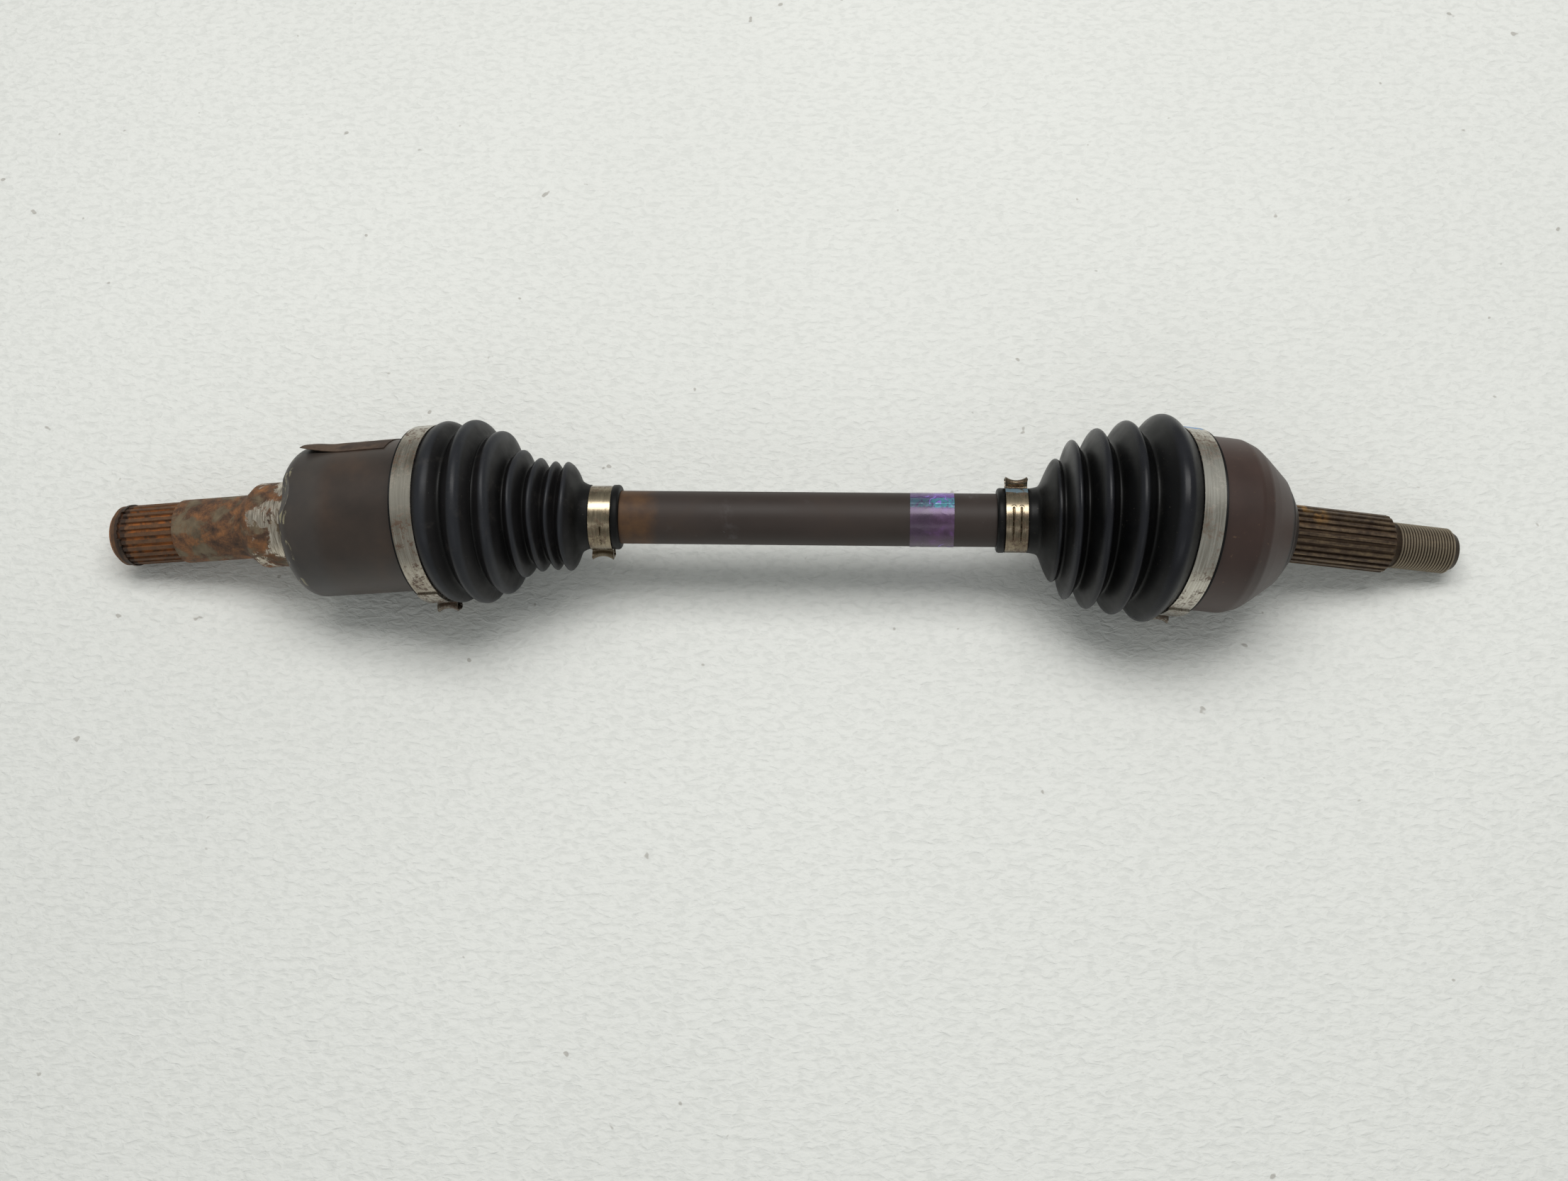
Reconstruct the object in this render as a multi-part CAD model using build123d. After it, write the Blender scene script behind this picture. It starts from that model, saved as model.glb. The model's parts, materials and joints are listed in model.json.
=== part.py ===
"""Front-wheel-drive CV axle: tripod plunge joint, solid shaft and ball-type wheel joint.

The axle lies on a flat surface (z = 0). The shaft runs level along +X, from the gearbox end
at low X to the wheel end at high X. Both joints droop until their stubs touch the surface.
The origin is the middle of the whole axle's box, on the surface.
Each joint is drawn in its own frame: x runs from the joint centre out along its stub.
"""

import os
from math import asin, atan, atan2, cos, degrees, hypot, pi, radians, sin, sqrt, tan

from build123d import *

# ------------------------------------------------------------------ whole axle
JOINT_SPAN = 373.0  # tripod centre to ball joint centre
JOINT_HEIGHT = 44.35  # joint centres above the surface
RUNNING = 0.05  # clearance of one turning or sliding piece in another
HAIR = 0.02  # gap between pieces that seat on each other

# ------------------------------------------------------------------ shaft
SHAFT_R = 12.7
INNER_NECK_R = 10.5
OUTER_NECK_R = 11.5
INNER_NECK_END = 46.0  # from the tripod centre
OUTER_NECK_END = 50.0  # from the ball joint centre
NECK_TAPER = 10.0
DRIVE_TEETH = 24
TOOTH_FOOT, TOOTH_RISE, TOOTH_FALL = 0.30, 0.42, 0.88  # shares of a spline tooth's pitch
DRIVE_ROOT_R = 11.5
DRIVE_TIP_R = 12.5
COLLAR_R = 13.5
COLLAR_LENGTH = 2.5
CLIP_THICK = 1.8
CLIP_GROOVE_R = 11.3
CLIP_R = 13.6
CLIP_GAP_ANGLE = 50.0
INNER_SHAFT_END = 14.0
OUTER_SHAFT_END = 15.2

# ------------------------------------------------------------------ inner (tripod) joint
TULIP_R = 36.6
TULIP_SEAT_R = 38.4
TULIP_MOUTH = -22.0
TULIP_SEAT_END = -10.5
TULIP_FACE = 52.6
TULIP_ROUND = 8.0
SCALLOP_R = 26.0  # hollow in the tulip's end between two tracks
SCALLOP_AT = 66.6
SCALLOP_FROM_AXIS = 50.2
CAVITY_R = 31.5
CAVITY_END = 40.0
CORE_R = 20.0
MOUTH_R = 25.5
MOUTH_FLARE_END = -8.0
ROLLER_R = 15.5
ROLLER_WIDTH = 12.0
ROLLER_BORE_R = 10.6
ROLLER_PITCH_R = 20.5
TRACK_SIDE_GAP = 0.75
TRUNNION_R = 8.2
TRUNNION_TOP = 26.8
TRUNNION_SHOULDER_R = 10.0
TRUNNION_SHOULDER_TOP = 15.4
NEEDLE_R = 1.12
NEEDLE_COUNT = 24
NEEDLE_LENGTH = 9.2
RETAINER_THICK = 1.2
RETAINER_BASE = 24.95
RETAINER_R = 10.4
HUB_R = 14.2
HUB_HALF = 10.0

LAND_R = 20.7
LAND_END = 76.0
LAND_ROUND = 2.5
PLAIN_R = 15.6
PLAIN_START = 82.6
PLAIN_END = 119.0
INNER_TEETH = 25
INNER_ROOT_R = 13.5
INNER_TIP_R = 14.8
STUB_CLIP_AT = 148.6
STUB_CLIP_R = 15.3
STUB_CLIP_WIRE = 1.6
STUB_CLIP_GROOVE_R = 13.3
INNER_STUB_END = 155.2
INNER_NOSE_R = 12.6
INNER_NOSE_START = 151.7
INNER_NOSE_COLLAR = 149.8
INNER_NOSE_ROUND = 3.0

# ------------------------------------------------------------------ outer (ball) joint
BELL_R = 41.3
BELL_SEAT_R = 40.2
BELL_SEAT_END = -0.6
BELL_MOUTH = -13.5
BELL_CYLINDER_END = 17.2
BELL_EDGE_ROUND = 6.0
BELL_CURVE = [(23.0, 39.3), (28.0, 35.8), (33.0, 31.9)]
BELL_CONE_END = 38.5
BELL_CONE_R = 27.6
SHOULDER_R = 24.6
SHOULDER_ROUND = 4.5
SHOULDER_FACE = 45.4
SHOULDER_FACE_R = 18.5
BALL_COUNT = 6
BALL_R = 8.5
BALL_PITCH_R = 28.5
GROOVE_R = 9.95
GROOVE_SHIFT = 1.0  # groove path inside or outside the ball circle
GROOVE_DEPTH_END = 21.0
CAGE_R = 32.6
CAGE_BORE_R = 26.8
CAGE_HALF = 13.0
CAGE_WINDOW_GAP = 0.03
CAGE_WINDOW_HALF = 10.2
RACE_R = 26.74
RACE_HALF = 11.0
MOUTH_CHAMFER = 4.0

OUTER_TEETH = 25
OUTER_ROOT_R = 12.6
OUTER_TIP_R = 13.9
OUTER_TEETH_END = 98.2
OUTER_TEETH_CHAMFER_END = 100.6
THREAD_R = 11.0
THREAD_DEPTH = 0.85
THREAD_PITCH = 1.5
THREAD_START = 102.6
THREAD_TURNS = 19
RIDGE_FROM, RIDGE_TO = 0.42, 0.58  # flat top of a thread ridge, shares of the pitch
OUTER_STUB_END = 134.0
OUTER_NOSE_R = 8.8

# ------------------------------------------------------------------ boots, clamps and labels
BOOT_WALL = 2.4
CLAMP_WIDTH = 10.3
CLAMP_BAND = 0.8
EAR_LENGTH = 9.0
EAR_WIDTH = 8.0
EAR_HEIGHT = 4.4
EAR_SHEET = 0.9

INNER_CUFF_END = -8.4
INNER_CUFF_R = 41.3
INNER_CLAMP_AT = -20.3
INNER_NECK_CUFF_AT = 87.2
INNER_SMALL_CLAMP_AT = 88.8
INNER_SMALL_CUFF_R = 14.1
INNER_SMALL_LIP_R = 15.4

OUTER_CUFF_END = -1.0
OUTER_CUFF_R = 43.3
OUTER_CLAMP_AT = -13.2
OUTER_NECK_CUFF_AT = 75.9
OUTER_SMALL_CLAMP_AT = 77.5
OUTER_SMALL_CUFF_R = 14.4
OUTER_SMALL_LIP_R = 15.3
LIP_PAST_CLAMP = 4.0  # rubber lip beyond a small clamp

LABEL_FROM = 111.8  # from the ball joint centre
LABEL_LENGTH = 20.7
LABEL_THICK = 0.12
TAG_FROM = 2.0
TAG_TO = 46.0
TAG_HALF_ANGLE = 24.0
TAG_THICK = 0.3

# convolutions: distance from the large cuff's edge, and radius of each crest and valley
INNER_CRESTS = [
    (4.4, 43.4), (17.3, 43.8), (28.4, 38.9), (37.3, 30.5),
    (45.2, 27.3), (52.3, 26.3), (58.2, 26.2),
]
INNER_VALLEYS = [(10.4, 38.6), (23.4, 35.5), (33.6, 27.2), (41.6, 23.2), (49.0, 22.0), (55.4, 21.6)]
OUTER_CRESTS = [(7.6, 48.9), (22.9, 45.7), (35.3, 42.6), (45.8, 37.9), (52.4, 29.2)]
OUTER_VALLEYS = [(16.4, 41.0), (30.2, 37.4), (41.6, 34.0), (50.0, 27.6)]
INNER_NECK_RUN = [(61.0, 24.3), (62.5, 21.2), (64.0, 17.2)]
OUTER_NECK_RUN = [(55.4, 25.5), (56.8, 22.6), (58.2, 19.0), (59.4, 16.2)]
CREST_HALF = 1.5
CREST_DROP = 0.7


# ------------------------------------------------------------------ placing
def resting_angle(station, radius):
    """Droop at which a ring of the stub, this far from the joint centre, touches the surface."""
    return asin(JOINT_HEIGHT / hypot(station, radius)) - atan(radius / station)


INNER_DROOP = resting_angle(STUB_CLIP_AT, STUB_CLIP_R)
OUTER_DROOP = resting_angle(THREAD_START + THREAD_TURNS * THREAD_PITCH, THREAD_R)
INNER_REACH = INNER_STUB_END * cos(INNER_DROOP) + INNER_NOSE_R * sin(INNER_DROOP)
OUTER_REACH = OUTER_STUB_END * cos(OUTER_DROOP) + OUTER_NOSE_R * sin(OUTER_DROOP)
INNER_X = (INNER_REACH - OUTER_REACH - JOINT_SPAN) / 2
OUTER_X = INNER_X + JOINT_SPAN

INNER_CENTRE = Vector(INNER_X, 0, JOINT_HEIGHT)
OUTER_CENTRE = Vector(OUTER_X, 0, JOINT_HEIGHT)
INNER_AXIS = Vector(-cos(INNER_DROOP), 0, -sin(INNER_DROOP))
OUTER_AXIS = Vector(cos(OUTER_DROOP), 0, -sin(OUTER_DROOP))


def frame_along(centre, droop, way):
    """Frame at a joint centre: x out along a line that droops, z up, way +1 to the wheel."""
    x_dir = (way * cos(droop), 0, -sin(droop))
    z_dir = (way * sin(droop), 0, cos(droop))
    return Plane(origin=centre, x_dir=x_dir, z_dir=z_dir).location


INNER_FRAME = frame_along(INNER_CENTRE, INNER_DROOP, -1)
INNER_SHAFT_FRAME = frame_along(INNER_CENTRE, 0, 1)
OUTER_FRAME = frame_along(OUTER_CENTRE, OUTER_DROOP, 1)
OUTER_SHAFT_FRAME = frame_along(OUTER_CENTRE, 0, -1)
CAGE_FRAME = frame_along(OUTER_CENTRE, OUTER_DROOP / 2, 1)


# ------------------------------------------------------------------ shapes used again and again
def lathe(outline, rounds=()):
    """Solid turned about x from (station, radius) points, with chosen corners rounded."""
    face = make_face(Polyline(*outline, close=True).edges())
    for (station, radius), size in rounds:
        corner = face.vertices().sort_by_distance((station, radius, 0))[0]
        face = face.face().fillet_2d(size, [corner])
    return revolve(face, Axis.X, 360)


def tube(start, end, bore, radius):
    return lathe([(start, bore), (end, bore), (end, radius), (start, radius)])


def rod(start, end, radius):
    return lathe([(start, 0), (end, 0), (end, radius), (start, radius)])


def toothed_bar(start, end, root, tip, teeth):
    """Bar along x whose section has straight-sided spline teeth."""
    pitch = 2 * pi / teeth
    points = []
    for tooth in range(teeth):
        for part, radius in ((0.0, root), (TOOTH_FOOT, root), (TOOTH_RISE, tip), (TOOTH_FALL, tip)):
            angle = (tooth + part) * pitch
            points.append((radius * cos(angle), radius * sin(angle)))
    face = Plane.YZ.offset(start) * make_face(Polyline(*points, close=True).edges())
    return extrude(face, amount=end - start, dir=(1, 0, 0))


def around(shape, count, start=0.0):
    """Copies of a shape spaced evenly about x."""
    return [Rot(X=start + 360.0 * number / count) * shape for number in range(count)]


def snap_ring(start, thick, bore, radius):
    """Flat ring about x, open at the top."""
    ring = tube(start, start + thick, bore, radius)
    opening = 2 * radius * tan(radians(CLIP_GAP_ANGLE / 2))
    return ring - Pos(start + thick / 2, 0, radius) * Box(4 * thick, opening, 2 * radius)


def save(name, shape, frame):
    placed = frame * shape
    placed.label = name
    export_step(placed, f"parts/{name}.step")


def save_group(name, shapes, frame):
    placed = Compound(children=[frame * shape for shape in shapes])
    placed.label = name
    export_step(placed, f"parts/{name}.step")


# ------------------------------------------------------------------ shaft and what is fixed on it
def make_shaft():
    """Drawn from the tripod centre, x towards the wheel."""
    collar_in = HUB_HALF + HAIR
    collar_out = JOINT_SPAN - RACE_HALF - HAIR
    taper_out = JOINT_SPAN - OUTER_NECK_END - NECK_TAPER
    outline = [
        (-INNER_SHAFT_END, 0),
        (-INNER_SHAFT_END, DRIVE_ROOT_R),
        (collar_in, DRIVE_ROOT_R),
        (collar_in, COLLAR_R),
        (collar_in + COLLAR_LENGTH, COLLAR_R),
        (collar_in + COLLAR_LENGTH, INNER_NECK_R),
        (INNER_NECK_END, INNER_NECK_R),
        (INNER_NECK_END + NECK_TAPER, SHAFT_R),
        (taper_out, SHAFT_R),
        (taper_out + NECK_TAPER, OUTER_NECK_R),
        (collar_out - COLLAR_LENGTH, OUTER_NECK_R),
        (collar_out - COLLAR_LENGTH, COLLAR_R),
        (collar_out, COLLAR_R),
        (collar_out, DRIVE_ROOT_R),
        (JOINT_SPAN + OUTER_SHAFT_END, DRIVE_ROOT_R),
        (JOINT_SPAN + OUTER_SHAFT_END, 0),
    ]
    body = lathe(outline)
    ends = [(-INNER_SHAFT_END, collar_in), (collar_out, JOINT_SPAN + OUTER_SHAFT_END)]
    for start, end in ends:
        body += toothed_bar(start, end, DRIVE_ROOT_R, DRIVE_TIP_R, DRIVE_TEETH)
    clip_grooves = [-HUB_HALF - CLIP_THICK - 2 * HAIR, JOINT_SPAN + RACE_HALF]
    for start in clip_grooves:
        body -= tube(start, start + CLIP_THICK + 2 * HAIR, CLIP_GROOVE_R, COLLAR_R)
    return body


def drive_bore(half):
    """Cutter for a hub's splined bore."""
    return toothed_bar(-half, half, DRIVE_ROOT_R + RUNNING, DRIVE_TIP_R + RUNNING, DRIVE_TEETH)


def make_label():
    middle = JOINT_SPAN - LABEL_FROM
    return tube(middle - LABEL_LENGTH, middle, SHAFT_R + HAIR, SHAFT_R + HAIR + LABEL_THICK)


# ------------------------------------------------------------------ tripod joint
def upright(shape):
    """Turn a shape drawn about x so that it stands along z."""
    return Rot(Y=-90) * shape


def make_spider():
    hub = rod(-HUB_HALF, HUB_HALF, HUB_R)
    for arm in around(upright(rod(0, TRUNNION_TOP, TRUNNION_R)), 3, 180):
        hub += arm
    for arm in around(upright(rod(0, TRUNNION_SHOULDER_TOP, TRUNNION_SHOULDER_R)), 3, 180):
        hub += arm
    return hub - drive_bore(HUB_HALF + 1)


def make_roller():
    """Barrel roller standing on z at its place over the trunnion."""
    crown = Sphere(ROLLER_R) & Box(2 * ROLLER_R, 2 * ROLLER_R, ROLLER_WIDTH)
    return Pos(0, 0, ROLLER_PITCH_R) * (crown - Cylinder(ROLLER_BORE_R, ROLLER_WIDTH))


def make_needles():
    """One full ring of needles round a trunnion."""
    ring_r = (TRUNNION_R + ROLLER_BORE_R) / 2
    base = TRUNNION_SHOULDER_TOP + RUNNING
    needle = Pos(ring_r, 0, base + NEEDLE_LENGTH / 2) * Cylinder(NEEDLE_R, NEEDLE_LENGTH)
    return [Rot(Z=360 * number / NEEDLE_COUNT) * needle for number in range(NEEDLE_COUNT)]


def make_retainer():
    return upright(tube(RETAINER_BASE, RETAINER_BASE + RETAINER_THICK, TRUNNION_R + HAIR, RETAINER_R))


def make_inner_housing():
    """Tulip with three flat-sided tracks, bearing land, plain stub and splined end."""
    outline = [
        (TULIP_MOUTH, 0),
        (TULIP_MOUTH, TULIP_SEAT_R),
        (TULIP_SEAT_END, TULIP_SEAT_R),
        (TULIP_SEAT_END, TULIP_R),
        (TULIP_FACE, TULIP_R),
        (TULIP_FACE, LAND_R),
        (LAND_END, LAND_R),
        (PLAIN_START, PLAIN_R),
        (PLAIN_END, PLAIN_R),
        (PLAIN_END, INNER_ROOT_R),
        (INNER_STUB_END, INNER_ROOT_R),
        (INNER_STUB_END, 0),
    ]
    rounds = [
        ((TULIP_FACE, TULIP_R), TULIP_ROUND),
        ((LAND_END, LAND_R), LAND_ROUND),
        ((PLAIN_START, PLAIN_R), 2 * LAND_ROUND),
    ]
    body = lathe(outline, rounds)
    body += toothed_bar(PLAIN_END, INNER_STUB_END, INNER_ROOT_R - HAIR, INNER_TIP_R, INNER_TEETH)
    body += tube(INNER_NOSE_COLLAR, INNER_STUB_END, INNER_NOSE_R - 1, INNER_TIP_R)
    nose = lathe([
        (PLAIN_END, 0),
        (PLAIN_END, INNER_TIP_R + 1),
        (INNER_NOSE_START, INNER_TIP_R + 1),
        (INNER_STUB_END, INNER_NOSE_R),
        (INNER_STUB_END, 0),
    ], [((INNER_NOSE_START, INNER_TIP_R + 1), INNER_NOSE_ROUND)])
    body = body & (nose + rod(TULIP_MOUTH, PLAIN_END, TULIP_SEAT_R))
    half = STUB_CLIP_WIRE / 2 + HAIR
    body -= tube(STUB_CLIP_AT - half, STUB_CLIP_AT + half, STUB_CLIP_GROOVE_R, STUB_CLIP_R)
    core = lathe([
        (TULIP_MOUTH - 1, 0),
        (TULIP_MOUTH - 1, MOUTH_R),
        (TULIP_MOUTH, MOUTH_R),
        (MOUTH_FLARE_END, CORE_R),
        (CAVITY_END, CORE_R),
        (CAVITY_END, 0),
    ])
    body -= core
    length = CAVITY_END - TULIP_MOUTH + 1
    width = 2 * (ROLLER_R + TRACK_SIDE_GAP)
    slot = Pos(TULIP_MOUTH - 1 + length / 2, 0, CAVITY_R / 2) * Box(length, width, CAVITY_R)
    slot = slot & rod(TULIP_MOUTH - 1, CAVITY_END, CAVITY_R)
    for cutter in around(slot, 3, 180):
        body -= cutter
    scallop = Pos(SCALLOP_AT, 0, SCALLOP_FROM_AXIS) * Sphere(SCALLOP_R)
    for cutter in around(scallop, 3):
        body -= cutter
    return body


def make_stub_clip():
    start = STUB_CLIP_AT - STUB_CLIP_WIRE / 2
    return snap_ring(start, STUB_CLIP_WIRE, STUB_CLIP_GROOVE_R + HAIR, STUB_CLIP_R)


# ------------------------------------------------------------------ ball joint
def groove(path_radius, end):
    """Cutter for one ball groove: part of a ring in the x-z plane, on the +z side."""
    ring = Rot(X=90) * Torus(path_radius, GROOVE_R)
    reach = 2 * path_radius
    keep = Pos(end - reach, 0, reach / 2) * Box(2 * reach, 2 * GROOVE_R, reach)
    return ring & keep


def make_outer_housing():
    """Bell with six ball grooves, hub shoulder, splined stub and thread."""
    outline = [
        (BELL_MOUTH, 0),
        (BELL_MOUTH, BELL_SEAT_R),
        (BELL_SEAT_END, BELL_SEAT_R),
        (BELL_SEAT_END, BELL_R),
        (BELL_CYLINDER_END, BELL_R),
        *BELL_CURVE,
        (BELL_CONE_END, BELL_CONE_R),
        (BELL_CONE_END, SHOULDER_R),
        (SHOULDER_FACE - SHOULDER_ROUND, SHOULDER_R),
        (SHOULDER_FACE, SHOULDER_FACE_R),
        (SHOULDER_FACE, OUTER_ROOT_R),
        (OUTER_TEETH_END, OUTER_ROOT_R),
        (OUTER_TEETH_CHAMFER_END, THREAD_R - THREAD_DEPTH),
    ]
    for turn in range(THREAD_TURNS):
        at = THREAD_START + turn * THREAD_PITCH
        outline.append((at, THREAD_R - THREAD_DEPTH))
        outline.append((at + THREAD_PITCH * RIDGE_FROM, THREAD_R))
        outline.append((at + THREAD_PITCH * RIDGE_TO, THREAD_R))
    thread_end = THREAD_START + THREAD_TURNS * THREAD_PITCH
    outline.append((thread_end, THREAD_R - THREAD_DEPTH))
    outline.append((OUTER_STUB_END, OUTER_NOSE_R))
    outline.append((OUTER_STUB_END, 0))
    rounds = [
        ((BELL_CYLINDER_END, BELL_R), BELL_EDGE_ROUND),
        *[(corner, BELL_EDGE_ROUND) for corner in BELL_CURVE],
        ((SHOULDER_FACE - SHOULDER_ROUND, SHOULDER_R), SHOULDER_ROUND / 2),
    ]
    body = lathe(outline, rounds)
    start = SHOULDER_FACE - 1
    teeth = toothed_bar(start, OUTER_TEETH_CHAMFER_END, OUTER_ROOT_R - HAIR, OUTER_TIP_R, OUTER_TEETH)
    envelope = [
        (start, 0),
        (start, OUTER_TIP_R + 1),
        (OUTER_TEETH_END - 1, OUTER_TIP_R + 1),
        (OUTER_TEETH_CHAMFER_END, THREAD_R - THREAD_DEPTH),
        (OUTER_TEETH_CHAMFER_END, 0),
    ]
    body += teeth & lathe(envelope)
    body -= Sphere(CAGE_R + RUNNING)
    flare = CAGE_R + RUNNING
    throat = sqrt(flare**2 - BELL_MOUTH**2)
    body -= lathe([
        (BELL_MOUTH - 1, 0),
        (BELL_MOUTH - 1, throat + MOUTH_CHAMFER),
        (BELL_MOUTH, throat + MOUTH_CHAMFER),
        (BELL_MOUTH + MOUTH_CHAMFER, throat),
        (BELL_MOUTH + MOUTH_CHAMFER, 0),
    ])
    for cutter in around(groove(BALL_PITCH_R - GROOVE_SHIFT, GROOVE_DEPTH_END), BALL_COUNT):
        body -= cutter
    return body


def make_inner_race():
    body = Sphere(RACE_R) & rod(-RACE_HALF, RACE_HALF, RACE_R)
    for cutter in around(groove(BALL_PITCH_R + GROOVE_SHIFT, 2 * RACE_HALF), BALL_COUNT):
        body -= cutter
    return body - drive_bore(RACE_HALF + 1)


def make_cage():
    body = (Sphere(CAGE_R) - Sphere(CAGE_BORE_R)) & rod(-CAGE_HALF, CAGE_HALF, CAGE_R)
    window = Pos(0, 0, BALL_PITCH_R) * Box(
        2 * (BALL_R + CAGE_WINDOW_GAP), 2 * CAGE_WINDOW_HALF, 2 * (CAGE_R - CAGE_BORE_R) + BALL_R
    )
    for cutter in around(window, BALL_COUNT):
        body -= cutter
    return body


# ------------------------------------------------------------------ boots
def boot_line(start, start_dir, end, end_dir):
    """Centre and facing of a boot's rings: from the large cuff's edge to the small cuff's edge."""
    length = (end - start).length
    first = atan2(start_dir.Z, start_dir.X)
    turn = atan2(end_dir.Z, end_dir.X) - first
    turn -= 2 * pi * round(turn / (2 * pi))

    def ring_plane(distance):
        t = distance / length
        spot = (
            start * (2 * t**3 - 3 * t**2 + 1)
            + start_dir * (length * (t**3 - 2 * t**2 + t))
            + end * (3 * t**2 - 2 * t**3)
            + end_dir * (length * (t**3 - t**2))
        )
        facing = first + turn * t
        return Plane(origin=spot, x_dir=(0, 1, 0), z_dir=(cos(facing), 0, sin(facing)))

    return ring_plane, length


def boot_rings(crests, valleys, neck_run):
    """Distances and radii down a boot, with each crest drawn as a short flat with eased edges."""
    rings = []
    for distance, radius in crests:
        rings.append((distance - CREST_HALF, radius - CREST_DROP))
        rings.append((distance, radius))
        rings.append((distance + CREST_HALF, radius - CREST_DROP))
    return sorted(rings + valleys + neck_run)


def bellows(rings, ring_plane, length, large_r, small_r, inset):
    """Ruled stack of rings between the two cuffs, drawn in by inset."""
    stack = [(0, large_r - inset)] + [(d, r - inset) for d, r in rings] + [(length, small_r)]
    return loft([ring_plane(distance) * Circle(radius) for distance, radius in stack], ruled=True)


def make_inner_boot():
    start = INNER_CENTRE + INNER_AXIS * INNER_CLAMP_AT
    end = INNER_CENTRE + Vector(INNER_NECK_CUFF_AT, 0, 0)
    ring_plane, length = boot_line(start, INNER_AXIS * -1, end, Vector(1, 0, 0))
    rings = boot_rings(INNER_CRESTS, INNER_VALLEYS, INNER_NECK_RUN)
    skin = bellows(rings, ring_plane, length, INNER_CUFF_R, INNER_SMALL_LIP_R, 0)
    hollow = bellows(rings, ring_plane, length, INNER_CUFF_R, SHAFT_R + HAIR, BOOT_WALL)
    cuff = INNER_FRAME * tube(INNER_CLAMP_AT, INNER_CUFF_END, TULIP_R + HAIR, INNER_CUFF_R)
    cuff -= INNER_FRAME * rod(TULIP_MOUTH, TULIP_SEAT_END + HAIR, TULIP_SEAT_R + HAIR)
    neck = small_cuff(INNER_NECK_CUFF_AT, INNER_SMALL_CLAMP_AT, INNER_SMALL_CUFF_R, INNER_SMALL_LIP_R)
    return (skin - hollow) + cuff + INNER_SHAFT_FRAME * neck


def make_outer_boot():
    start = OUTER_CENTRE + OUTER_AXIS * OUTER_CLAMP_AT
    end = OUTER_CENTRE - Vector(OUTER_NECK_CUFF_AT, 0, 0)
    ring_plane, length = boot_line(start, OUTER_AXIS * -1, end, Vector(-1, 0, 0))
    rings = boot_rings(OUTER_CRESTS, OUTER_VALLEYS, OUTER_NECK_RUN)
    skin = bellows(rings, ring_plane, length, OUTER_CUFF_R, OUTER_SMALL_LIP_R, 0)
    hollow = bellows(rings, ring_plane, length, OUTER_CUFF_R, SHAFT_R + HAIR, BOOT_WALL)
    cuff = OUTER_FRAME * tube(OUTER_CLAMP_AT, OUTER_CUFF_END, BELL_SEAT_R + HAIR, OUTER_CUFF_R)
    neck = small_cuff(OUTER_NECK_CUFF_AT, OUTER_SMALL_CLAMP_AT, OUTER_SMALL_CUFF_R, OUTER_SMALL_LIP_R)
    return (skin - hollow) + cuff + OUTER_SHAFT_FRAME * neck


def small_cuff(start, clamp_at, cuff_r, lip_r):
    """Rubber sleeve on the shaft, with a raised lip each side of its clamp."""
    far = clamp_at + CLAMP_WIDTH
    return lathe([
        (start, SHAFT_R + HAIR),
        (start, lip_r),
        (clamp_at - HAIR, lip_r),
        (clamp_at - HAIR, cuff_r),
        (far + HAIR, cuff_r),
        (far + HAIR, lip_r),
        (far + LIP_PAST_CLAMP, lip_r),
        (far + LIP_PAST_CLAMP, SHAFT_R + HAIR),
    ])


# ------------------------------------------------------------------ clamps and tag
def make_clamp(start, cuff_r, ear_angle):
    """Steel band with one pinched ear; ear_angle is measured about x from straight up."""
    bore = cuff_r + HAIR
    band = tube(start, start + CLAMP_WIDTH, bore, bore + CLAMP_BAND)
    foot = sqrt(bore**2 - (EAR_LENGTH / 2) ** 2)
    height = bore + CLAMP_BAND + EAR_HEIGHT - foot
    arch = Box(EAR_WIDTH, EAR_LENGTH, height)
    arch -= Pos(0, 0, -EAR_SHEET) * Box(2 * EAR_WIDTH, EAR_LENGTH - 2 * EAR_SHEET, height)
    ear = Pos(start + CLAMP_WIDTH / 2, 0, foot + height / 2) * arch
    ear -= rod(start - 1, start + 2 * CLAMP_WIDTH, bore)
    return band + Rot(X=ear_angle) * ear


def make_tag():
    """Paper tag stuck on the tulip's far upper side."""
    sleeve = tube(TAG_FROM, TAG_TO, TULIP_R + HAIR, TULIP_R + HAIR + TAG_THICK)
    across = 2 * TULIP_R * sin(radians(TAG_HALF_ANGLE))
    up = 2 * TULIP_R * cos(radians(TAG_HALF_ANGLE))
    corners = Polyline((0, 0), (-across, up), (across, up), close=True)
    wedge = extrude(Plane.YZ * make_face(corners.edges()), amount=TAG_TO, dir=(1, 0, 0))
    return sleeve & wedge


# ------------------------------------------------------------------ ear and tag directions
# about each joint frame's x, from straight up; the inner frame's y runs the other way
INNER_EAR = -120.0
OUTER_EAR = 125.0
INNER_SMALL_EAR = 125.0
OUTER_SMALL_EAR = 65.0
TAG_ANGLE = 62.0

os.makedirs("parts", exist_ok=True)

inner_clip = snap_ring(-HUB_HALF - CLIP_THICK - HAIR, CLIP_THICK, CLIP_GROOVE_R + HAIR, CLIP_R)
outer_clip = snap_ring(JOINT_SPAN + RACE_HALF + HAIR, CLIP_THICK, CLIP_GROOVE_R + HAIR, CLIP_R)
save("intermediate_shaft", make_shaft(), INNER_SHAFT_FRAME)
save("shaft_label", make_label(), INNER_SHAFT_FRAME)
save("tripod_spider", make_spider(), INNER_SHAFT_FRAME)
save("spider_circlip", inner_clip, INNER_SHAFT_FRAME)
for number in range(3):
    turn = Rot(X=180 + 120 * number)
    needles = [turn * needle for needle in make_needles()]
    save(f"tripod_roller_{number + 1}", turn * make_roller(), INNER_SHAFT_FRAME)
    save(f"roller_retainer_{number + 1}", turn * make_retainer(), INNER_SHAFT_FRAME)
    save_group(f"roller_needles_{number + 1}", needles, INNER_SHAFT_FRAME)

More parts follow.
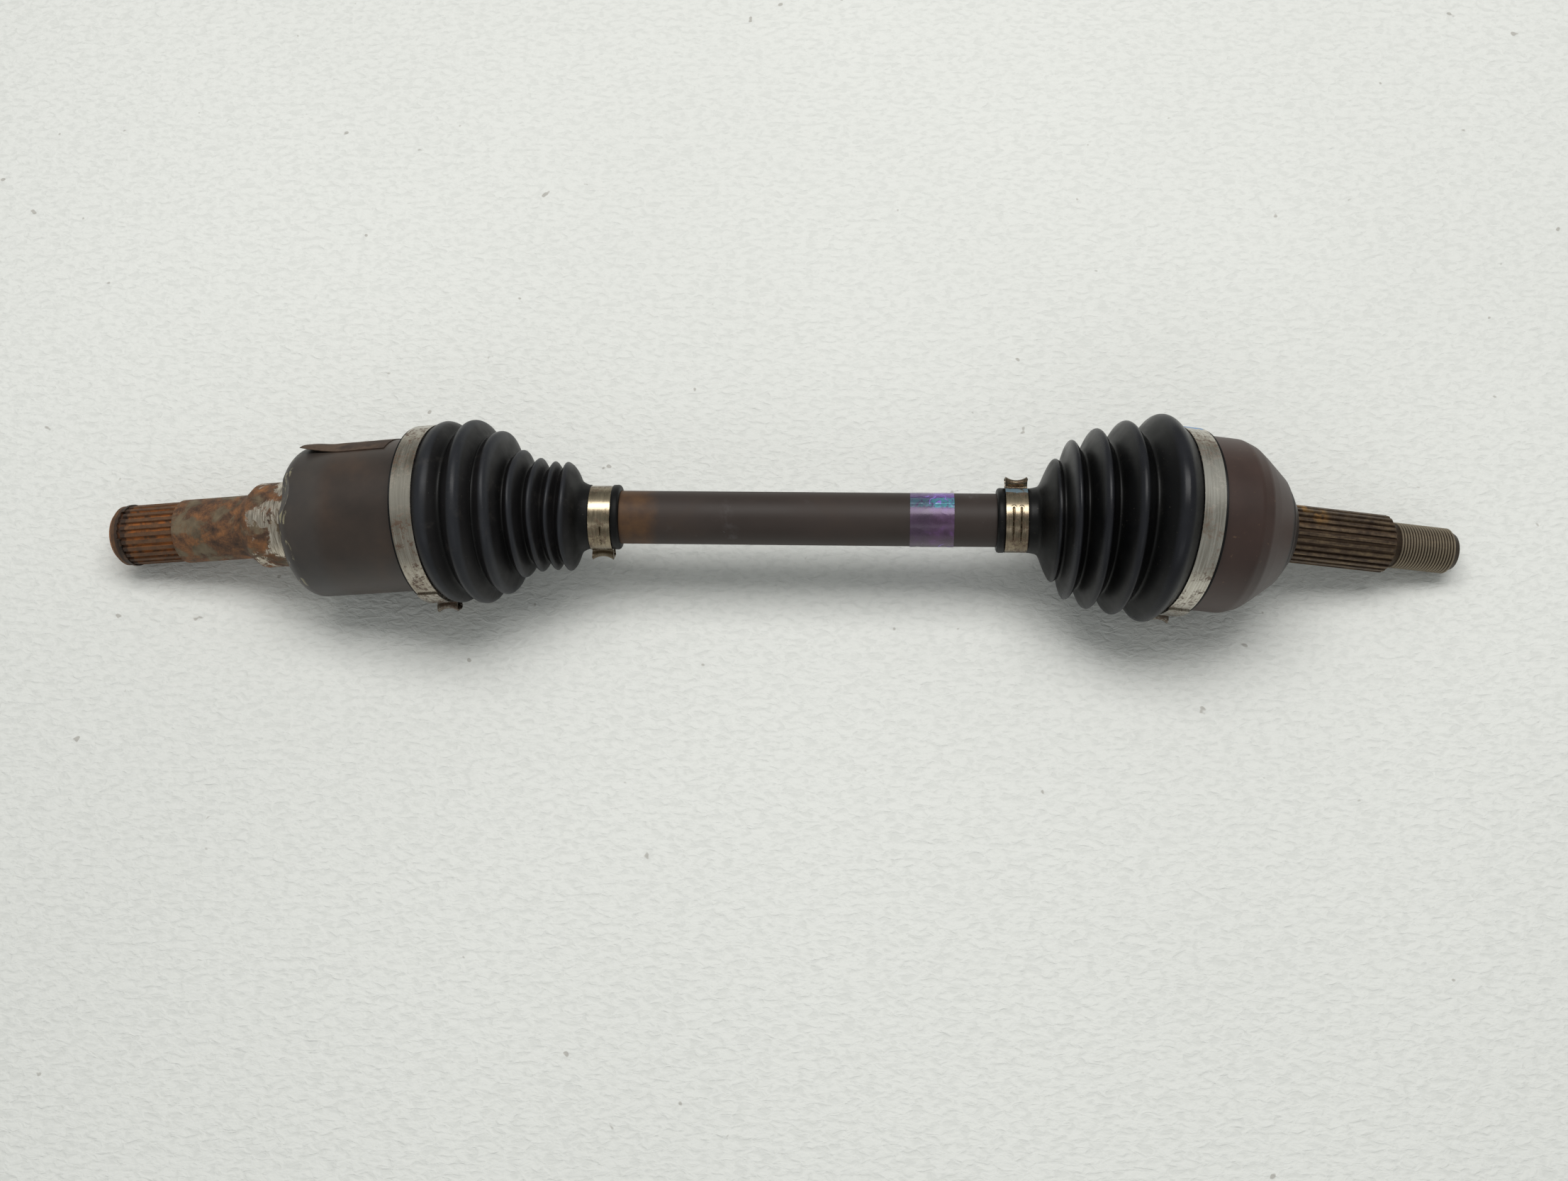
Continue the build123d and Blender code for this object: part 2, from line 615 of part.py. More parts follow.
inner_large = make_clamp(INNER_CLAMP_AT, INNER_CUFF_R, INNER_EAR)
inner_small = make_clamp(INNER_SMALL_CLAMP_AT, INNER_SMALL_CUFF_R, INNER_SMALL_EAR)
save("inner_joint_housing", make_inner_housing(), INNER_FRAME)
save("inner_stub_circlip", make_stub_clip(), INNER_FRAME)
save("inner_boot", make_inner_boot(), Location())
save("inner_boot_large_clamp", inner_large, INNER_FRAME)
save("inner_boot_small_clamp", inner_small, INNER_SHAFT_FRAME)
save("housing_tag", Rot(X=TAG_ANGLE) * make_tag(), INNER_FRAME)

outer_large = make_clamp(OUTER_CLAMP_AT, OUTER_CUFF_R, OUTER_EAR)
outer_small = make_clamp(OUTER_SMALL_CLAMP_AT, OUTER_SMALL_CUFF_R, OUTER_SMALL_EAR)
save("outer_joint_housing", make_outer_housing(), OUTER_FRAME)
save("outer_inner_race", Pos(JOINT_SPAN, 0, 0) * make_inner_race(), INNER_SHAFT_FRAME)
save("inner_race_circlip", outer_clip, INNER_SHAFT_FRAME)
save("ball_cage", make_cage(), CAGE_FRAME)
for number, ball in enumerate(around(Pos(0, 0, BALL_PITCH_R) * Sphere(BALL_R), BALL_COUNT)):
    save(f"ball_{number + 1}", ball, CAGE_FRAME)
save("outer_boot", make_outer_boot(), Location())
save("outer_boot_large_clamp", outer_large, OUTER_FRAME)
save("outer_boot_small_clamp", outer_small, OUTER_SHAFT_FRAME)

print("inner centre", INNER_CENTRE, "droop", degrees(INNER_DROOP))
print("outer centre", OUTER_CENTRE, "droop", degrees(OUTER_DROOP))
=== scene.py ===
"""Looks of a front-wheel-drive CV axle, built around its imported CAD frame.

The axle lies on a flat surface, gearbox end at low X and wheel end at high X. Metal parts keep
their CAD meshes and get worn, rusted or painted materials. The rubber boots, strip clamps, shaft
label and paper tag are built here in mesh code and stand for their CAD solids.
Lengths are written in millimetres and turned to metres by MM.
"""

import json
import math

import bmesh
import bpy
import numpy as np
from mathutils import Matrix, Vector, noise


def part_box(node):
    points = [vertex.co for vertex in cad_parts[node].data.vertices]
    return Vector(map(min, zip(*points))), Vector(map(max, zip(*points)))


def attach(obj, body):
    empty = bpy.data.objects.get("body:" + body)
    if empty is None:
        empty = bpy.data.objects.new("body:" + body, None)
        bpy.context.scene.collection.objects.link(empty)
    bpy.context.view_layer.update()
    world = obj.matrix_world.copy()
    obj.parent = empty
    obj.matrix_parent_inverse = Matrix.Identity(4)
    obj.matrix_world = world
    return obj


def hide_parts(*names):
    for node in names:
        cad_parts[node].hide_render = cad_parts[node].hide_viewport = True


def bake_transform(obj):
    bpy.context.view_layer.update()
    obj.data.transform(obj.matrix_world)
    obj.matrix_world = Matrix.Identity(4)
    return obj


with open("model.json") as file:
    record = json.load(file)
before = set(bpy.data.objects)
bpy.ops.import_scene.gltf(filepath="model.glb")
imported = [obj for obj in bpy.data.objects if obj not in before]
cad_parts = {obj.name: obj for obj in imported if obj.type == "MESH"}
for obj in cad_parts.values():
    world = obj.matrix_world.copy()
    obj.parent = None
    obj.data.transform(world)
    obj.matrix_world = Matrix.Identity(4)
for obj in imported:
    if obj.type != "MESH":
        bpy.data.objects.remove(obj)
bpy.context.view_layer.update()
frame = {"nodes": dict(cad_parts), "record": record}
MM = 0.001

# ------------------------------------------------------------------ places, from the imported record
joints = {joint["name"]: joint for joint in frame["record"]["behaviour"]["joints"]}
mounts = {mount["name"]: mount for mount in frame["record"]["mounts"]}
INNER_CENTRE = Vector(joints["inner_bend"]["pos_m"])
OUTER_CENTRE = Vector(joints["outer_bend"]["pos_m"])
INNER_OUT = Vector(mounts["stub_journal"]["axis"])
OUTER_OUT = Vector(mounts["hub_shoulder"]["axis"])
TO_WHEEL = Vector((1, 0, 0))


def frame_at(centre, out):
    """Frame with x along out, z up and y level."""
    side = Vector((0, math.copysign(1, out.x), 0))
    place = Matrix((out, side, out.cross(side))).transposed().to_4x4()
    place.translation = centre
    return place


INNER_FRAME = frame_at(INNER_CENTRE, INNER_OUT)
INNER_SHAFT_FRAME = frame_at(INNER_CENTRE, TO_WHEEL)
OUTER_FRAME = frame_at(OUTER_CENTRE, OUTER_OUT)
OUTER_SHAFT_FRAME = frame_at(OUTER_CENTRE, -TO_WHEEL)

# ------------------------------------------------------------------ sizes in mm
TULIP_SEAT_R = 38.4
BELL_SEAT_R = 40.2
SHAFT_R = 12.7
TULIP_R = 36.6
HAIR = 0.03  # left free between a strip or lining and what it sits on
BOOT_WALL = 2.4
CLAMP_WIDTH = 10.3
CLAMP_BAND = 0.8

INNER_CUFF_END = -8.4
INNER_CLAMP_AT = -20.3
INNER_CUFF_R = 41.3
INNER_NECK_AT = 87.2
INNER_SMALL_CLAMP_AT = 88.8
INNER_SMALL_R = 14.1
INNER_LIP_R = 15.4
OUTER_CUFF_END = -1.0
OUTER_CLAMP_AT = -13.2
OUTER_CUFF_R = 43.3
OUTER_NECK_AT = 75.9
OUTER_SMALL_CLAMP_AT = 77.5
OUTER_SMALL_R = 14.4
OUTER_LIP_R = 15.3
LIP_PAST_CLAMP = 4.0

# crests: distance from the large clamp's inner edge, radius, half width of the round top
# valleys and neck runs: distance, radius
INNER_CRESTS = [
    (4.4, 43.4, 2.6), (17.3, 43.8, 1.9), (28.4, 38.9, 1.7), (37.3, 30.5, 1.3), (45.2, 27.3, 1.1),
    (52.3, 26.3, 0.9), (58.2, 26.2, 1.0),
]
INNER_VALLEYS = [
    (10.6, 38.0), (23.4, 35.5), (33.6, 25.6), (41.6, 21.8), (49.0, 20.8), (55.4, 20.6),
]
INNER_NECK_RUN = [(61.0, 24.3), (62.5, 21.2), (64.0, 17.2)]
OUTER_CRESTS = [
    (7.6, 48.9, 2.2), (22.9, 45.7, 1.1), (35.3, 42.6, 1.1), (45.8, 37.9, 1.0), (52.4, 29.2, 1.3),
]
OUTER_VALLEYS = [(16.6, 38.6), (30.2, 34.8), (41.6, 31.5), (50.0, 26.4)]
OUTER_NECK_RUN = [(55.4, 25.5), (56.8, 22.6), (58.2, 19.0), (59.4, 16.2)]
INNER_SPLIT = 23.4  # the inner boot is cut at this valley, because it spans two joints


# ------------------------------------------------------------------ mesh helpers
def make_object(name, vertices, faces, sharp_angle=40):
    """Smooth-shaded object with outward normals and its sharp edges kept sharp."""
    mesh = bpy.data.meshes.new(name)
    mesh.from_pydata([tuple(v) for v in vertices], [], faces)
    work = bmesh.new()
    work.from_mesh(mesh)
    bmesh.ops.recalc_face_normals(work, faces=work.faces)
    for face in work.faces:
        face.smooth = True
    for edge in work.edges:
        if edge.is_manifold and edge.calc_face_angle() > math.radians(sharp_angle):
            edge.smooth = False
    work.to_mesh(mesh)
    work.free()
    made = bpy.data.objects.new(name, mesh)
    bpy.context.scene.collection.objects.link(made)
    return made


def grid_faces(rows, columns, wrap_rows, wrap_columns, first=0):
    """Quads between the points of a grid whose point (i, j) is first + i * columns + j."""
    faces = []
    for i in range(rows if wrap_rows else rows - 1):
        for j in range(columns if wrap_columns else columns - 1):
            below, beside = (i + 1) % rows, (j + 1) % columns
            corners = ((i, j), (i, beside), (below, beside), (below, j))
            faces.append([first + a * columns + b for a, b in corners])
    return faces


def grid_normals(points, wrap_rows):
    """Unit normals of a grid of points, by differences between neighbours."""
    if wrap_rows:
        down = np.roll(points, -1, 0) - np.roll(points, 1, 0)
    else:
        down = np.gradient(points, axis=0)
    normals = np.cross(down, np.gradient(points, axis=1))
    return normals / np.linalg.norm(normals, axis=2, keepdims=True)


def plate(name, points, thickness, wrap_rows=False, sharp_angle=40):
    """Closed sheet of this thickness around a grid of middle points."""
    rows, columns = points.shape[:2]
    offset = grid_normals(points, wrap_rows) * (thickness / 2)
    vertices = np.concatenate([(points + offset).reshape(-1, 3), (points - offset).reshape(-1, 3)])
    half = rows * columns
    faces = grid_faces(rows, columns, wrap_rows, False) + grid_faces(
        rows, columns, wrap_rows, False, half,
    )
    rims = []
    for j in (0, columns - 1):
        run = [i * columns + j for i in range(rows)]
        rims.append(run + run[:1] if wrap_rows else run)
    if not wrap_rows:
        for i in (0, rows - 1):
            rims.append([i * columns + j for j in range(columns)])
    for rim in rims:
        for a, b in zip(rim, rim[1:]):
            faces.append([a, b, half + b, half + a])
    return make_object(name, vertices, faces, sharp_angle)


def smooth_line(controls, steps):
    """Points of a uniform cubic B-spline, its two ends held."""
    run = np.array([controls[0]] * 2 + list(controls) + [controls[-1]] * 2, float)
    found = []
    for a, b, c, d in zip(run, run[1:], run[2:], run[3:]):
        for t in np.arange(steps) / steps:
            weights = ((1 - t) ** 3, 3 * t**3 - 6 * t**2 + 4, -3 * t**3 + 3 * t**2 + 3 * t + 1, t**3)
            found.append(sum(w * p for w, p in zip(weights, (a, b, c, d))) / 6)
    return np.array(found + [run[-1]])


def placed(points, place):
    """Points in mm in a frame, turned to metres in the row frame."""
    matrix = np.array(place)
    return (points * MM) @ matrix[:3, :3].T + matrix[:3, 3]


def on_axis(centre, out, mm):
    return centre + out * (mm * MM)


def add_value(made, name, values):
    """A number at each vertex, which a material reads by name."""
    attribute = made.data.attributes.new(name, "FLOAT", "POINT")
    attribute.data.foreach_set("value", np.asarray(values, np.float32))


def dress(made, material):
    """Give an object its one material."""
    made.data.materials.clear()
    made.data.materials.append(material)
    return made


# ------------------------------------------------------------------ material helpers
def tone(red, green, blue):
    """Screen colour from 0 to 255 as the linear colour that nodes take."""
    shares = [c / 255 for c in (red, green, blue)]
    linear = [s / 12.92 if s <= 0.04045 else ((s + 0.055) / 1.055) ** 2.4 for s in shares]
    return (*linear, 1.0)


class Paint:
    """One node material, with short calls for the nodes it is made of."""

    def __init__(self, name):
        self.material = bpy.data.materials.new(name)
        self.material.use_nodes = True
        self.tree = self.material.node_tree
        self.shader = self.tree.nodes["Principled BSDF"]
        self.spot = self.node("ShaderNodeTexCoord").outputs["Object"]

    def node(self, kind, inputs=None, **settings):
        made = self.tree.nodes.new(kind)
        for key, value in settings.items():
            setattr(made, key, value)
        for key, value in (inputs or {}).items():
            self.feed(made.inputs[key], value)
        return made

    def feed(self, socket, value):
        if isinstance(value, bpy.types.NodeSocket):
            self.tree.links.new(value, socket)
        else:
            socket.default_value = value

    def local(self, place):
        """Coordinates in a frame, in metres: along its axis, across and up."""
        mapping = self.node("ShaderNodeMapping", {"Vector": self.spot}, vector_type="TEXTURE")
        mapping.inputs["Location"].default_value = place.translation
        mapping.inputs["Rotation"].default_value = place.to_euler()
        return mapping.outputs["Vector"]

    def split(self, vector):
        return self.node("ShaderNodeSeparateXYZ", {"Vector": vector}).outputs

    def join(self, x, y, z=0.0):
        return self.node("ShaderNodeCombineXYZ", {"X": x, "Y": y, "Z": z}).outputs["Vector"]

    def calc(self, operation, a, b=0.0, clamp=False):
        return self.node("ShaderNodeMath", {0: a, 1: b}, operation=operation, use_clamp=clamp).outputs[0]

    def scaled(self, vector, by):
        node = self.node("ShaderNodeVectorMath", {0: vector, 1: by}, operation="MULTIPLY")
        return node.outputs[0]

    def noise(self, scale, detail=4.0, rough=0.55, warp=0.0, at=None):
        inputs = {"Scale": scale, "Detail": detail, "Roughness": rough, "Distortion": warp}
        inputs["Vector"] = at or self.spot
        return self.node("ShaderNodeTexNoise", inputs).outputs["Fac"]

    def fade(self, value, low, high):
        """0 up to low, 1 from high, smooth between; high below low turns it round."""
        inputs = {"Value": value, "From Min": low, "From Max": high}
        return self.node("ShaderNodeMapRange", inputs, interpolation_type="SMOOTHSTEP").outputs["Result"]

    def span(self, value, low, high, soft):
        """1 between low and high, soft edges outside them."""
        return self.calc(
            "MULTIPLY", self.fade(value, low - soft, low), self.fade(value, high + soft, high),
        )

    def mix(self, share, a, b, blend="MIX"):
        node = self.node("ShaderNodeMix", {0: share, 6: a, 7: b}, data_type="RGBA", blend_type=blend)
        return node.outputs[2]

    def mid(self, share, a, b):
        return self.node("ShaderNodeMix", {0: share, 2: a, 3: b}).outputs[0]

    def ramp(self, value, *stops):
        node = self.node("ShaderNodeValToRGB", {"Fac": value})
        points = node.color_ramp.elements
        while len(points) < len(stops):
            points.new(0.5)
        for point, (place, colour) in zip(points, stops):
            point.position, point.color = place, colour
        return node.outputs["Color"]

    def bump(self, height, strength, distance_mm, before=None):
        inputs = {"Height": height, "Strength": strength, "Distance": distance_mm * MM}
        if before:
            inputs["Normal"] = before
        return self.node("ShaderNodeBump", inputs).outputs["Normal"]

    def value(self, name):
        return self.node("ShaderNodeAttribute", attribute_name=name).outputs["Fac"]

    def done(self, colour, rough, metal=0.0, normal=None, **fixed):
        for name, value in (("Base Color", colour), ("Roughness", rough), ("Metallic", metal)):
            self.feed(self.shader.inputs[name], value)
        if normal:
            self.feed(self.shader.inputs["Normal"], normal)
        for name, value in fixed.items():
            self.shader.inputs[name.replace("_", " ")].default_value = value
        return self.material


def around_axis(paint, place):
    """Station along an axis, turn about it (radians from up) and distance from it, in metres."""
    x, y, z = paint.split(paint.local(place))
    turn = paint.calc("ARCTAN2", y, z)
    reach = paint.calc(
        "SQRT", paint.calc("ADD", paint.calc("MULTIPLY", y, y), paint.calc("MULTIPLY", z, z)),
    )
    return x, turn, reach


def circling_streaks(paint, x, turn, fine, long):
    """Noise drawn out along the way round an axis."""
    at = paint.join(paint.calc("MULTIPLY", x, fine), paint.calc("MULTIPLY", turn, long))
    return paint.noise(1.0, 3.0, 0.6, 0.0, at)


# ------------------------------------------------------------------ materials
# where looks change: stations from the joint centre, or reach from the axis, in metres
SHAFT_RUST = (0.129, 0.121)
TULIP_SLATE = (0.036, 0.046)
TULIP_RIM = (0.0465, 0.0515)
STUB_START = (0.0530, 0.0545)
LAND = (0.0545, 0.0755)
LAND_RUBBED = (0.068, 0.060)
INNER_TEETH = (0.1185, 0.1200)
INNER_TOOTH_GAP = (0.0148, 0.0136)
STUB_NOSE = (0.1455, 0.1508)
BELL_RING = (0.0380, 0.0450)
BELL_BARE = (0.0450, 0.0460)
OUTER_TOOTH_GAP = (0.01365, 0.01275)
GOLD_STAIN = (0.045, 0.060)
THREAD_START = (0.0995, 0.1015)
THREAD_RIDGE = (0.01030, 0.01085)
LABEL_DULL = (0.2545, 0.2495)


def shaft_paint():
    """Dark brown paint with a purple cast, a rusty stretch by the inner boot, and faint scuffs."""
    p = Paint("shaft_dark_brown_paint")
    x, turn, _ = around_axis(p, INNER_SHAFT_FRAME)
    broad = p.noise(22.0, 5.0, 0.6)
    colour = p.ramp(broad, (0.30, tone(50, 42, 38)), (0.55, tone(58, 49, 45)), (0.75, tone(66, 54, 46)))
    rusty = p.fade(p.calc("ADD", x, p.calc("MULTIPLY", p.noise(90.0, 4.0), 0.012)), *SHAFT_RUST)
    colour = p.mix(
        p.calc("MULTIPLY", rusty, 0.85), colour,
        p.ramp(p.noise(160.0, 5.0), (0.35, tone(74, 52, 36)), (0.7, tone(96, 68, 42))),
    )
    smudge = p.calc(
        "MULTIPLY", p.fade(p.noise(38.0, 2.0, 0.5, 0.4), 0.60, 0.74),
        p.fade(p.noise(420.0, 4.0), 0.42, 0.62),
    )
    hair = circling_streaks(p, p.calc("ADD", x, p.calc("MULTIPLY", turn, 0.004)), turn, 900.0, 5.0)
    scratch = p.calc("MULTIPLY", p.fade(hair, 0.66, 0.74), p.fade(p.noise(30.0, 2.0), 0.5, 0.62))
    marks = p.calc("MAXIMUM", p.calc("MULTIPLY", smudge, 0.22), p.calc("MULTIPLY", scratch, 0.25))
    colour = p.mix(marks, colour, tone(120, 118, 122))
    grain = p.noise(900.0, 4.0, 0.6)
    rough = p.mid(p.fade(broad, 0.35, 0.7), 0.50, 0.60)
    return p.done(colour, rough, 0.0, p.bump(grain, 0.18, 0.12), IOR=1.45, Specular_IOR_Level=0.35)


def rust_colour(p, scale=130.0, bright=1.0):
    """Patchy rust from near black through brown to orange."""
    patches = p.noise(scale, 8.0, 0.66, 0.3)
    fine = p.noise(scale * 9, 5.0, 0.7)
    both = p.calc("ADD", p.calc("MULTIPLY", patches, 0.72), p.calc("MULTIPLY", fine, 0.28))
    return p.ramp(
        both,
        (0.34, tone(46, 34, 27)),
        (0.46, tone(86, 60, 42)),
        (0.55, tone(120 * bright, 82 * bright, 52 * bright)),
        (0.66, tone(152 * bright, 102 * bright, 60 * bright)),
    )


def inner_housing_metal():
    """Painted tulip, worn bright bearing land, rusted stub and spline."""
    p = Paint("inner_housing_paint_and_rust")
    x, turn, reach = around_axis(p, INNER_FRAME)
    wobble = p.calc("MULTIPLY", p.calc("SUBTRACT", p.noise(180.0, 5.0, 0.6), 0.5), 0.006)
    at = p.calc("ADD", x, wobble)
    broad = p.noise(26.0, 6.0, 0.6)
    painted = p.ramp(broad, (0.32, tone(44, 36, 31)), (0.52, tone(56, 45, 38)), (0.72, tone(72, 55, 43)))
    slate = p.fade(p.calc("ADD", x, p.calc("MULTIPLY", broad, 0.02)), *TULIP_SLATE)
    painted = p.mix(
        p.calc("MULTIPLY", slate, 0.7), painted,
        p.ramp(broad, (0.35, tone(47, 45, 46)), (0.7, tone(66, 62, 58))),
    )
    scuff = p.noise(
        1.0, 6.0, 0.66, 0.5, p.join(p.calc("MULTIPLY", x, 260.0), p.calc("MULTIPLY", turn, 5.0)),
    )
    rim = p.calc("MULTIPLY", p.span(x, *TULIP_RIM, 0.002), p.fade(scuff, 0.56, 0.62))
    painted = p.mix(p.calc("MULTIPLY", rim, 0.75), painted, tone(164, 156, 126))
    rust = rust_colour(p)
    olive = p.ramp(p.noise(90.0, 6.0, 0.62), (0.38, tone(78, 64, 48)), (0.62, tone(118, 104, 82)))
    plain = p.mix(p.fade(p.noise(75.0, 7.0, 0.66, 0.5), 0.48, 0.58), rust, olive)
    streaks = circling_streaks(p, x, turn, 1500.0, 2.2)
    steel = p.ramp(
        streaks, (0.34, tone(132, 122, 108)), (0.55, tone(198, 188, 172)), (0.72, tone(240, 234, 222)),
    )
    land = p.span(x, *LAND, 0.0008)
    worn = p.calc("ADD", p.noise(80.0, 8.0, 0.7, 0.5), p.calc("MULTIPLY", p.fade(x, *LAND_RUBBED), -0.10))
    land_rust = p.fade(worn, 0.40, 0.46)
    bare = p.calc("MULTIPLY", land, p.calc("SUBTRACT", 1.0, land_rust))
    teeth = p.fade(x, *INNER_TEETH)
    valley = p.calc("MULTIPLY", teeth, p.fade(reach, *INNER_TOOTH_GAP))
    stub = p.mix(teeth, plain, p.mix(0.45, rust_colour(p, 210.0, 0.9), tone(92, 66, 44)))
    stub = p.mix(
        p.calc("MULTIPLY", valley, p.fade(p.noise(260.0, 5.0), 0.36, 0.6)), stub, tone(156, 94, 42),
    )
    nose = p.calc("MULTIPLY", p.span(x, *STUB_NOSE, 0.0006), 0.7)
    stub = p.mix(nose, stub, tone(30, 24, 22))
    colour = p.mix(p.fade(at, *STUB_START), painted, p.mix(bare, stub, steel))
    metal = p.calc("MULTIPLY", bare, 0.9)
    paint_rough = p.mid(broad, 0.34, 0.56)
    rough = p.mid(p.fade(at, *STUB_START), paint_rough, p.mid(bare, 0.78, p.mid(streaks, 0.22, 0.46)))
    crust = p.calc("MULTIPLY", p.noise(420.0, 7.0, 0.68), p.fade(at, *STUB_START))
    normal = p.bump(crust, 0.5, 0.28)
    normal = p.bump(p.noise(700.0, 4.0, 0.6), 0.12, 0.15, normal)
    return p.done(colour, rough, metal, normal)


def outer_housing_metal():
    """Reddish brown painted bell, dark shoulder, oxidised spline and thread, with a painted highlight on
    the thread ridges.
    """
    p = Paint("outer_housing_paint_and_oxide")
    x, turn, reach = around_axis(p, OUTER_FRAME)
    broad = p.noise(24.0, 6.0, 0.6)
    painted = p.ramp(broad, (0.32, tone(50, 34, 29)), (0.52, tone(59, 41, 35)), (0.74, tone(72, 52, 45)))
    chips = p.calc("MULTIPLY", p.fade(p.noise(240.0, 6.0, 0.7, 0.4), 0.64, 0.68), 0.4)
    painted = p.mix(chips, painted, tone(112, 88, 66))
    ring = p.span(x, *BELL_RING, 0.0008)
    painted = p.mix(
        ring, painted, p.ramp(p.noise(140.0, 6.0), (0.36, tone(26, 20, 19)), (0.66, tone(50, 40, 36))),
    )
    drawn = p.noise(
        1.0, 6.0, 0.62, 0.2, p.join(p.calc("MULTIPLY", x, 90.0), p.calc("MULTIPLY", turn, 9.0)),
    )
    fine = p.mid(0.55, p.noise(360.0, 6.0, 0.66, 0.2), drawn)
    bronze = p.ramp(
        fine, (0.34, tone(54, 44, 37)), (0.48, tone(88, 73, 60)), (0.60, tone(120, 102, 80)),
        (0.74, tone(148, 130, 102)),
    )
    hollow = p.fade(reach, *OUTER_TOOTH_GAP)
    bronze = p.mix(p.calc("MULTIPLY", hollow, 0.55), bronze, tone(66, 47, 34))
    gold = p.calc("MULTIPLY", p.span(x, *GOLD_STAIN, 0.006), p.fade(p.noise(120.0, 5.0, 0.6), 0.46, 0.60))
    gold = p.calc("MULTIPLY", gold, p.fade(turn, -0.2, 0.5))
    bronze = p.mix(p.calc("MULTIPLY", gold, 0.65), bronze, tone(186, 140, 78))
    thread = p.fade(x, *THREAD_START)
    ridge = p.fade(reach, *THREAD_RIDGE)
    grey = p.ramp(fine, (0.34, tone(74, 58, 45)), (0.56, tone(110, 92, 72)), (0.74, tone(146, 130, 106)))
    # painted highlight on the thread ridges; the thread roots are darkened
    grey = p.mix(ridge, p.mix(0.75, grey, tone(34, 26, 20)), p.mix(0.35, grey, tone(204, 194, 172)))
    colour = p.mix(thread, bronze, grey)
    bare = p.fade(x, *BELL_BARE)
    colour = p.mix(bare, painted, colour)
    metal = p.calc("MULTIPLY", bare, p.mid(fine, 0.45, 0.95))
    rough = p.mid(bare, p.mid(broad, 0.34, 0.54), p.mid(fine, 0.34, 0.62))
    normal = p.bump(p.noise(520.0, 6.0, 0.66), p.mid(bare, 0.16, 0.42), 0.2)
    return p.done(colour, rough, metal, normal)


def boot_rubber(name, dark, worn, sheen, rough_low, rough_high, dusty):
    """Moulded rubber: painted shade makes the deep grooves black, a painted highlight makes the crests
    paler, crests smoother, dust in specks.
    """
    p = Paint(name)
    broad = p.noise(24.0, 5.0, 0.6)
    colour = p.mix(p.fade(broad, 0.36, 0.66), dark, worn)
    crest = p.value("crest")
    # painted shade: the deep grooves are darkened to near black
    colour = p.mix(p.fade(crest, 0.60, 0.05), colour, tone(6, 6, 6))
    # painted highlight: the crests take the sheen colour, patchy by noise
    crest_highlight = p.calc("MULTIPLY", p.fade(crest, 0.80, 1.0), p.mid(p.noise(60.0, 5.0, 0.6), 0.35, 1.0))
    colour = p.mix(crest_highlight, colour, sheen)
    dust = p.calc("MULTIPLY", p.fade(p.noise(75.0, 8.0, 0.72, 0.3), 0.54, 0.74), dusty)
    colour = p.mix(dust, colour, tone(96, 90, 84))
    specks = p.calc("MULTIPLY", p.fade(p.noise(1500.0, 2.0, 0.5), 0.72, 0.76), 0.30)
    colour = p.mix(specks, colour, tone(128, 120, 108))
    rough = p.mid(p.fade(p.noise(85.0, 6.0), 0.34, 0.66), rough_low, rough_high)
    rough = p.mid(p.fade(crest, 0.4, 1.0), p.calc("ADD", rough, 0.12), rough)
    skin = p.bump(p.noise(1100.0, 5.0, 0.6), 0.10, 0.10)
    normal = p.bump(p.noise(120.0, 3.0, 0.5), 0.06, 0.40, skin)
    return p.done(colour, rough, 0.0, normal, IOR=1.45, Specular_IOR_Level=0.24)


def clamp_metal(name, place, ear_angle, dark, light, rust_share, bright_turn, blue_turn=None):
    """Strip metal: a band with a painted reflection, rust blooms, a darker brown band round the ear and
    an optional dab of blue paint.
    """
    p = Paint(name)
    x, turn, _ = around_axis(p, place)
    streaks = circling_streaks(p, x, turn, 1300.0, 2.0)
    patches = p.noise(70.0, 6.0, 0.62)
    colour = p.mix(p.mid(p.fade(streaks, 0.3, 0.7), 0.45, 1.0), dark, light)
    colour = p.mix(p.calc("MULTIPLY", p.fade(patches, 0.40, 0.72), 0.6), colour, dark)
    # painted reflection: a brighter band of the strip round bright_turn
    reflection_band = p.calc(
        "MULTIPLY", p.span(turn, bright_turn - 0.10, bright_turn + 0.10, 0.28), p.mid(streaks, 0.6, 1.0),
    )
    gleam = tuple(min(1.0, share * 1.35) for share in light)
    colour = p.mix(p.calc("MULTIPLY", reflection_band, 0.85), colour, gleam)
    ear_turn = -math.radians(ear_angle)
    # darker brown round the ear, patchy by noise
    ear_darkening = p.span(turn, ear_turn - 0.16, ear_turn + 0.16, 0.25)
    ear_darkening = p.calc("MULTIPLY", ear_darkening, p.mid(patches, 0.45, 1.0))
    colour = p.mix(p.calc("MULTIPLY", ear_darkening, 0.7), colour, tone(66, 54, 42))
    grown = p.calc("SUBTRACT", p.fade(patches, 0.38, 0.52), reflection_band, True)
    bloom = p.calc("MULTIPLY", p.fade(p.noise(420.0, 7.0, 0.74, 0.4), 0.50, 0.55), grown)
    rust = p.calc("MULTIPLY", bloom, rust_share)
    colour = p.mix(rust, colour, tone(84, 58, 40))
    cover = rust
    if blue_turn is not None:
        low, high, paint = blue_turn
        torn = p.calc("MULTIPLY", p.calc("SUBTRACT", p.noise(500.0, 5.0, 0.7), 0.5), 0.30)
        dab = p.span(p.calc("ADD", turn, torn), low, high, 0.03)
        dab = p.calc("MULTIPLY", dab, p.fade(p.noise(420.0, 5.0, 0.66), 0.36, 0.46))
        colour = p.mix(p.calc("MULTIPLY", dab, 0.8), colour, paint)
        cover = p.calc("MAXIMUM", rust, dab)
    metal = p.calc("SUBTRACT", 1.0, p.calc("MULTIPLY", cover, 0.9))
    rough = p.mid(cover, p.mid(streaks, 0.18, 0.30), 0.6)
    normal = p.bump(streaks, 0.05, 0.05)
    normal = p.bump(p.noise(260.0, 4.0, 0.6), 0.10, 0.20, normal)
    return p.done(colour, rough, metal, normal)


